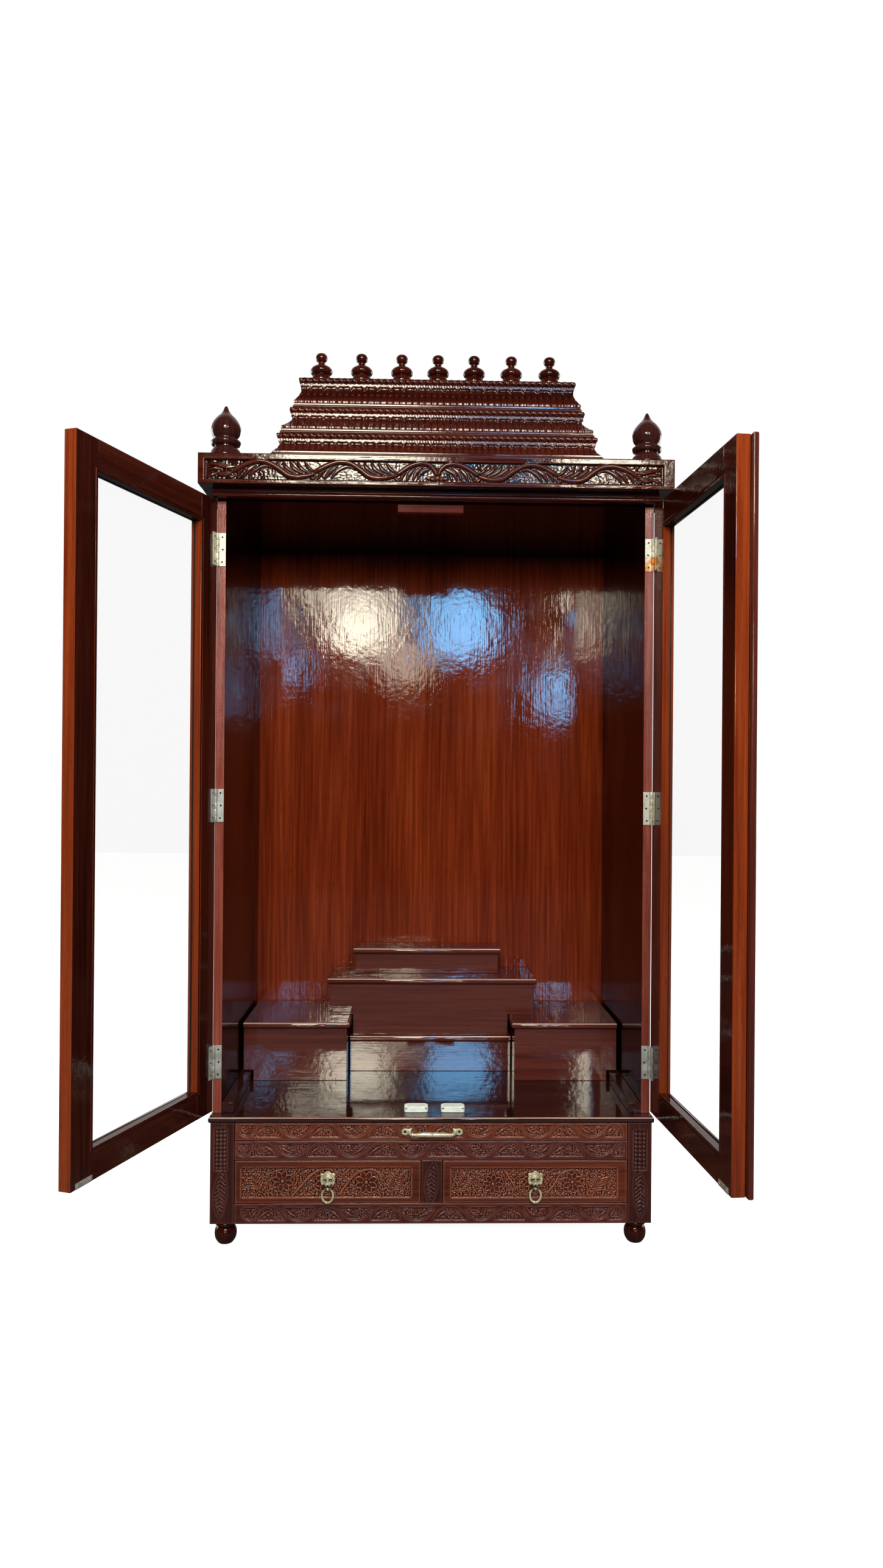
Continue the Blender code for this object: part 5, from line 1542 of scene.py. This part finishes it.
def pull_ring():
    """A horseshoe ring in its own plane, its top at the origin, in millimetres."""
    reach, wire, stations = 12.7, 1.8, 84
    bm = bmesh.new()
    upright = about("X", QUARTER)
    circle = bmesh.ops.create_circle(bm, segments=14, radius=wire,
                                     matrix=at((reach, 0, 0)) @ upright)["verts"]
    spun(bm, circle + list({e for v in circle for e in v.link_edges}), stations)
    bmesh.ops.transform(bm, matrix=upright, verts=bm.verts)
    for v in bm.verts:
        angle = math.atan2(v.co.x, -v.co.z)            # nought at the bottom
        core = Vector((math.sin(angle) * reach, 0, -math.cos(angle) * reach))
        swell = 1.0 + 0.42 * (0.5 + 0.5 * math.cos(angle)) ** 1.2
        swell -= 0.45 * math.exp(-((angle - 0.06) / 0.050) ** 2)
        swell += 0.42 * math.exp(-((angle + 0.16) / 0.12) ** 2)
        v.co = Vector((core.x * 0.90, 0, core.z * 1.15)) + (v.co - core) * swell
    bmesh.ops.translate(bm, vec=(0, 0, -reach * 1.15), verts=bm.verts)
    bmesh.ops.recalc_face_normals(bm, faces=bm.faces)
    # painted shade on the ring's top, where it runs up into the lion's mouth
    note_hollows(bm, 10, 0.8, lambda here: (here[:, 2] > -3.0) * 0.8)
    return bm


RING = to_mesh(pull_ring(), "pull_ring")
LION_UP = 0.0176                      # how far the head's brow is above the ring's pivot
TO_METRES = Matrix.Scale(MM, 4)


def casting(name, mesh, place, body, nodes, sharp=80):
    piece(name, add_mesh(bmesh.new(), mesh, place), BRASS, body, "brass", nodes, sharp, False)


for hand, side in SIDES:
    pivot = Vector(JOINTS[f"{hand}_ring_swing"]["pos_m"])
    plate = f"{hand}_lion_plate"
    casting(f"cast_{hand}_lion_head", LION,
            at((pivot.x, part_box(plate)[1].y, pivot.z + LION_UP)) @ TO_METRES, f"{hand}_drawer",
            [plate])
    casting(f"cast_{hand}_pull_ring", RING, at(pivot) @ TO_METRES, f"{hand}_ring",
            [f"{hand}_pull_ring"])

# half of a screw plate's outline about its screw, outer end first; the other half mirrors it
PLATE_LINE = ((7.4, 0), (5.9, 4.6), (0.5, 6.9), (-5.0, 6.0), (-9.5, 6.4), (-13.6, 8.0),
              (-13.0, 3.6), (-11.0, 0))
SCREW_X, GRIP_Y, HANDLE_CELL = 56.0, -20.5, 0.55


def screw_plate(bm, side):
    """A tear-shaped plate whose inner end spreads into a fish's tail."""
    upper = run_through(PLATE_LINE, 4)
    outline = np.vstack([upper, (upper * (1, -1))[::-1][1:-1]])
    prism([(side * (SCREW_X + x), 0.0, z) for x, z in outline], (0, -3.2, 0), bm)


def handle():
    """A cast bow handle, in millimetres about its middle on the tray's front."""
    runs = [((4.1, 0.0), (5.1, 1.4)), ((5.1, 1.4), (4.5, 2.2)), ((4.5, 2.2), (5.1, 3.0)),
            ((5.1, 3.0), (5.0, 14.0), (4.3, 28.0), (3.2, 38.0), (2.4, 41.2), (0, 41.5))]
    mirrored = [tuple((r, -z) for r, z in run[::-1]) for run in runs[::-1]]
    bm = turned(mirrored + runs, 32, 4)
    bmesh.ops.transform(bm, matrix=at((0, GRIP_Y, 0)) @ about("Y", QUARTER), verts=bm.verts)
    for side in (-1, 1):
        screw_plate(bm, side)
        limb(bm, [(side * 39.0, GRIP_Y, 0), (side * 43.5, GRIP_Y + 1.6, 0),
                  (side * 46.5, -12.0, 0), (side * 47.0, -1.5, 0)], (2.9, 3.4, 3.3, 4.2))
        add_cone(bm, 4.6, 4.6, 2.6, at((side * 41.0, GRIP_Y + 0.3, 0)) @ about("Y", QUARTER))
    bm = cast(bm, HANDLE_CELL, 2)
    countersinks = bmesh.new()
    for side in (-1, 1):
        add_cone(countersinks, 1.2, 3.9, 3.4, at((side * SCREW_X, -2.4, 0)) @ about("X", QUARTER))
    bmesh.ops.recalc_face_normals(countersinks, faces=countersinks.faces)
    bm = cut_away(bm, countersinks)
    note_hollows(bm, 12, 0.9)
    return to_mesh(bm, "handle")


low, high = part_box("tray_handle")
HANDLE_AT = at(((low.x + high.x) / 2, high.y, (low.z + high.z) / 2)) @ TO_METRES
casting("cast_tray_handle", handle(), HANDLE_AT, "tray", ["tray_handle"], 60)
screws = add_mesh(bmesh.new(), SCREW, *(
    HANDLE_AT @ at((side * SCREW_X, -2.2, 0)) @ about("Y", 0.6 * side) @ Matrix.Scale(3.2, 4)
    for side in (-1, 1)))
piece("tray_handle_screws", screws, DARK_STEEL, "tray", "brass", clean=False)

# ---- Magnetic catches and strip screws ----


FACE_UP = about("X", -QUARTER)        # turns a screw's head upwards


def catch(hand):
    """A low octagonal housing: a raised block between two slotted ears."""
    node = f"magnetic_catch_{hand}"
    low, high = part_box(node)
    size = (high - low) / MM
    half, deep, tall, corner, ear = size.x / 2, size.y, size.z, 7.0, 8.6
    bm = prism([(-half + 2.5, 0, 0), (half - 2.5, 0, 0), (half, 3.0, 0), (half, deep - corner, 0),
                (half - corner, deep, 0), (-half + corner, deep, 0), (-half, deep - corner, 0),
                (-half, 3.0, 0)], (0, 0, tall))
    bmesh.ops.recalc_face_normals(bm, faces=bm.faces)
    rounded(bm, hard_edges(bm, 0.5), 0.9, 3)
    for side in (-1, 1):
        slot, step = side * (half - ear / 2), side * (half - ear)
        bm = cut_boxes(bm, ((slot - 1.1, 4.5, tall - 4.0), (slot + 1.1, 15.0, tall + 2)),
                       ((slot - 2.6, -2.0, tall - 5.5), (slot + 2.6, 5.0, tall + 2)),
                       ((step - 0.4, -1, tall - 0.9), (step + 0.4, deep - 4, tall + 2)),
                       ((step - 0.4, -1, 2.0), (step + 0.4, 0.7, tall + 2)))
    bm = cut_boxes(bm, *(((-reach, -1, z), (reach, 0.6, z + 0.5))
                         for z, reach in ((tall - 3.4, 12.5), (3.2, 13.0))),
                   ((-14.2, deep - 6.0, tall - 0.7), (14.2, deep - 5.2, tall + 1)),
                   *(((x - 0.7, -1, 6.0), (x + 0.7, 0.8, 7.4)) for x in (-6.5, 0.0, 6.5)))
    bmesh.ops.remove_doubles(bm, verts=bm.verts, dist=0.001)
    place = at(((low.x + high.x) / 2, low.y, low.z)) @ TO_METRES
    bmesh.ops.transform(bm, matrix=place, verts=bm.verts)
    piece(f"moulded_{node}", bm, PLASTIC, "cabinet", "catch_plastic", [node], flat=True)
    screws = add_mesh(bmesh.new(), SCREW, *(
        place @ at((side * (half - ear / 2), 3.4, tall - 4.9)) @ FACE_UP @ Matrix.Scale(2.2, 4)
        for side in (-1, 1)))
    piece(f"{node}_screws", screws, DARK_STEEL, "cabinet", "hinge_metal", clean=False)


for hand, side in SIDES:
    catch(hand)

screws = add_mesh(bmesh.new(), SCREW, *(
    at((x, y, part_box(f"floor_strip_{hand}")[1].z - 0.0003)) @ FACE_UP @ Matrix.Scale(0.0032, 4)
    for hand, x in (("left", -0.378), ("right", 0.4757)) for y in (0.039, 0.201, 0.372)))
piece("floor_strip_screws", screws, DARK_STEEL, "cabinet", "hinge_metal", clean=False)
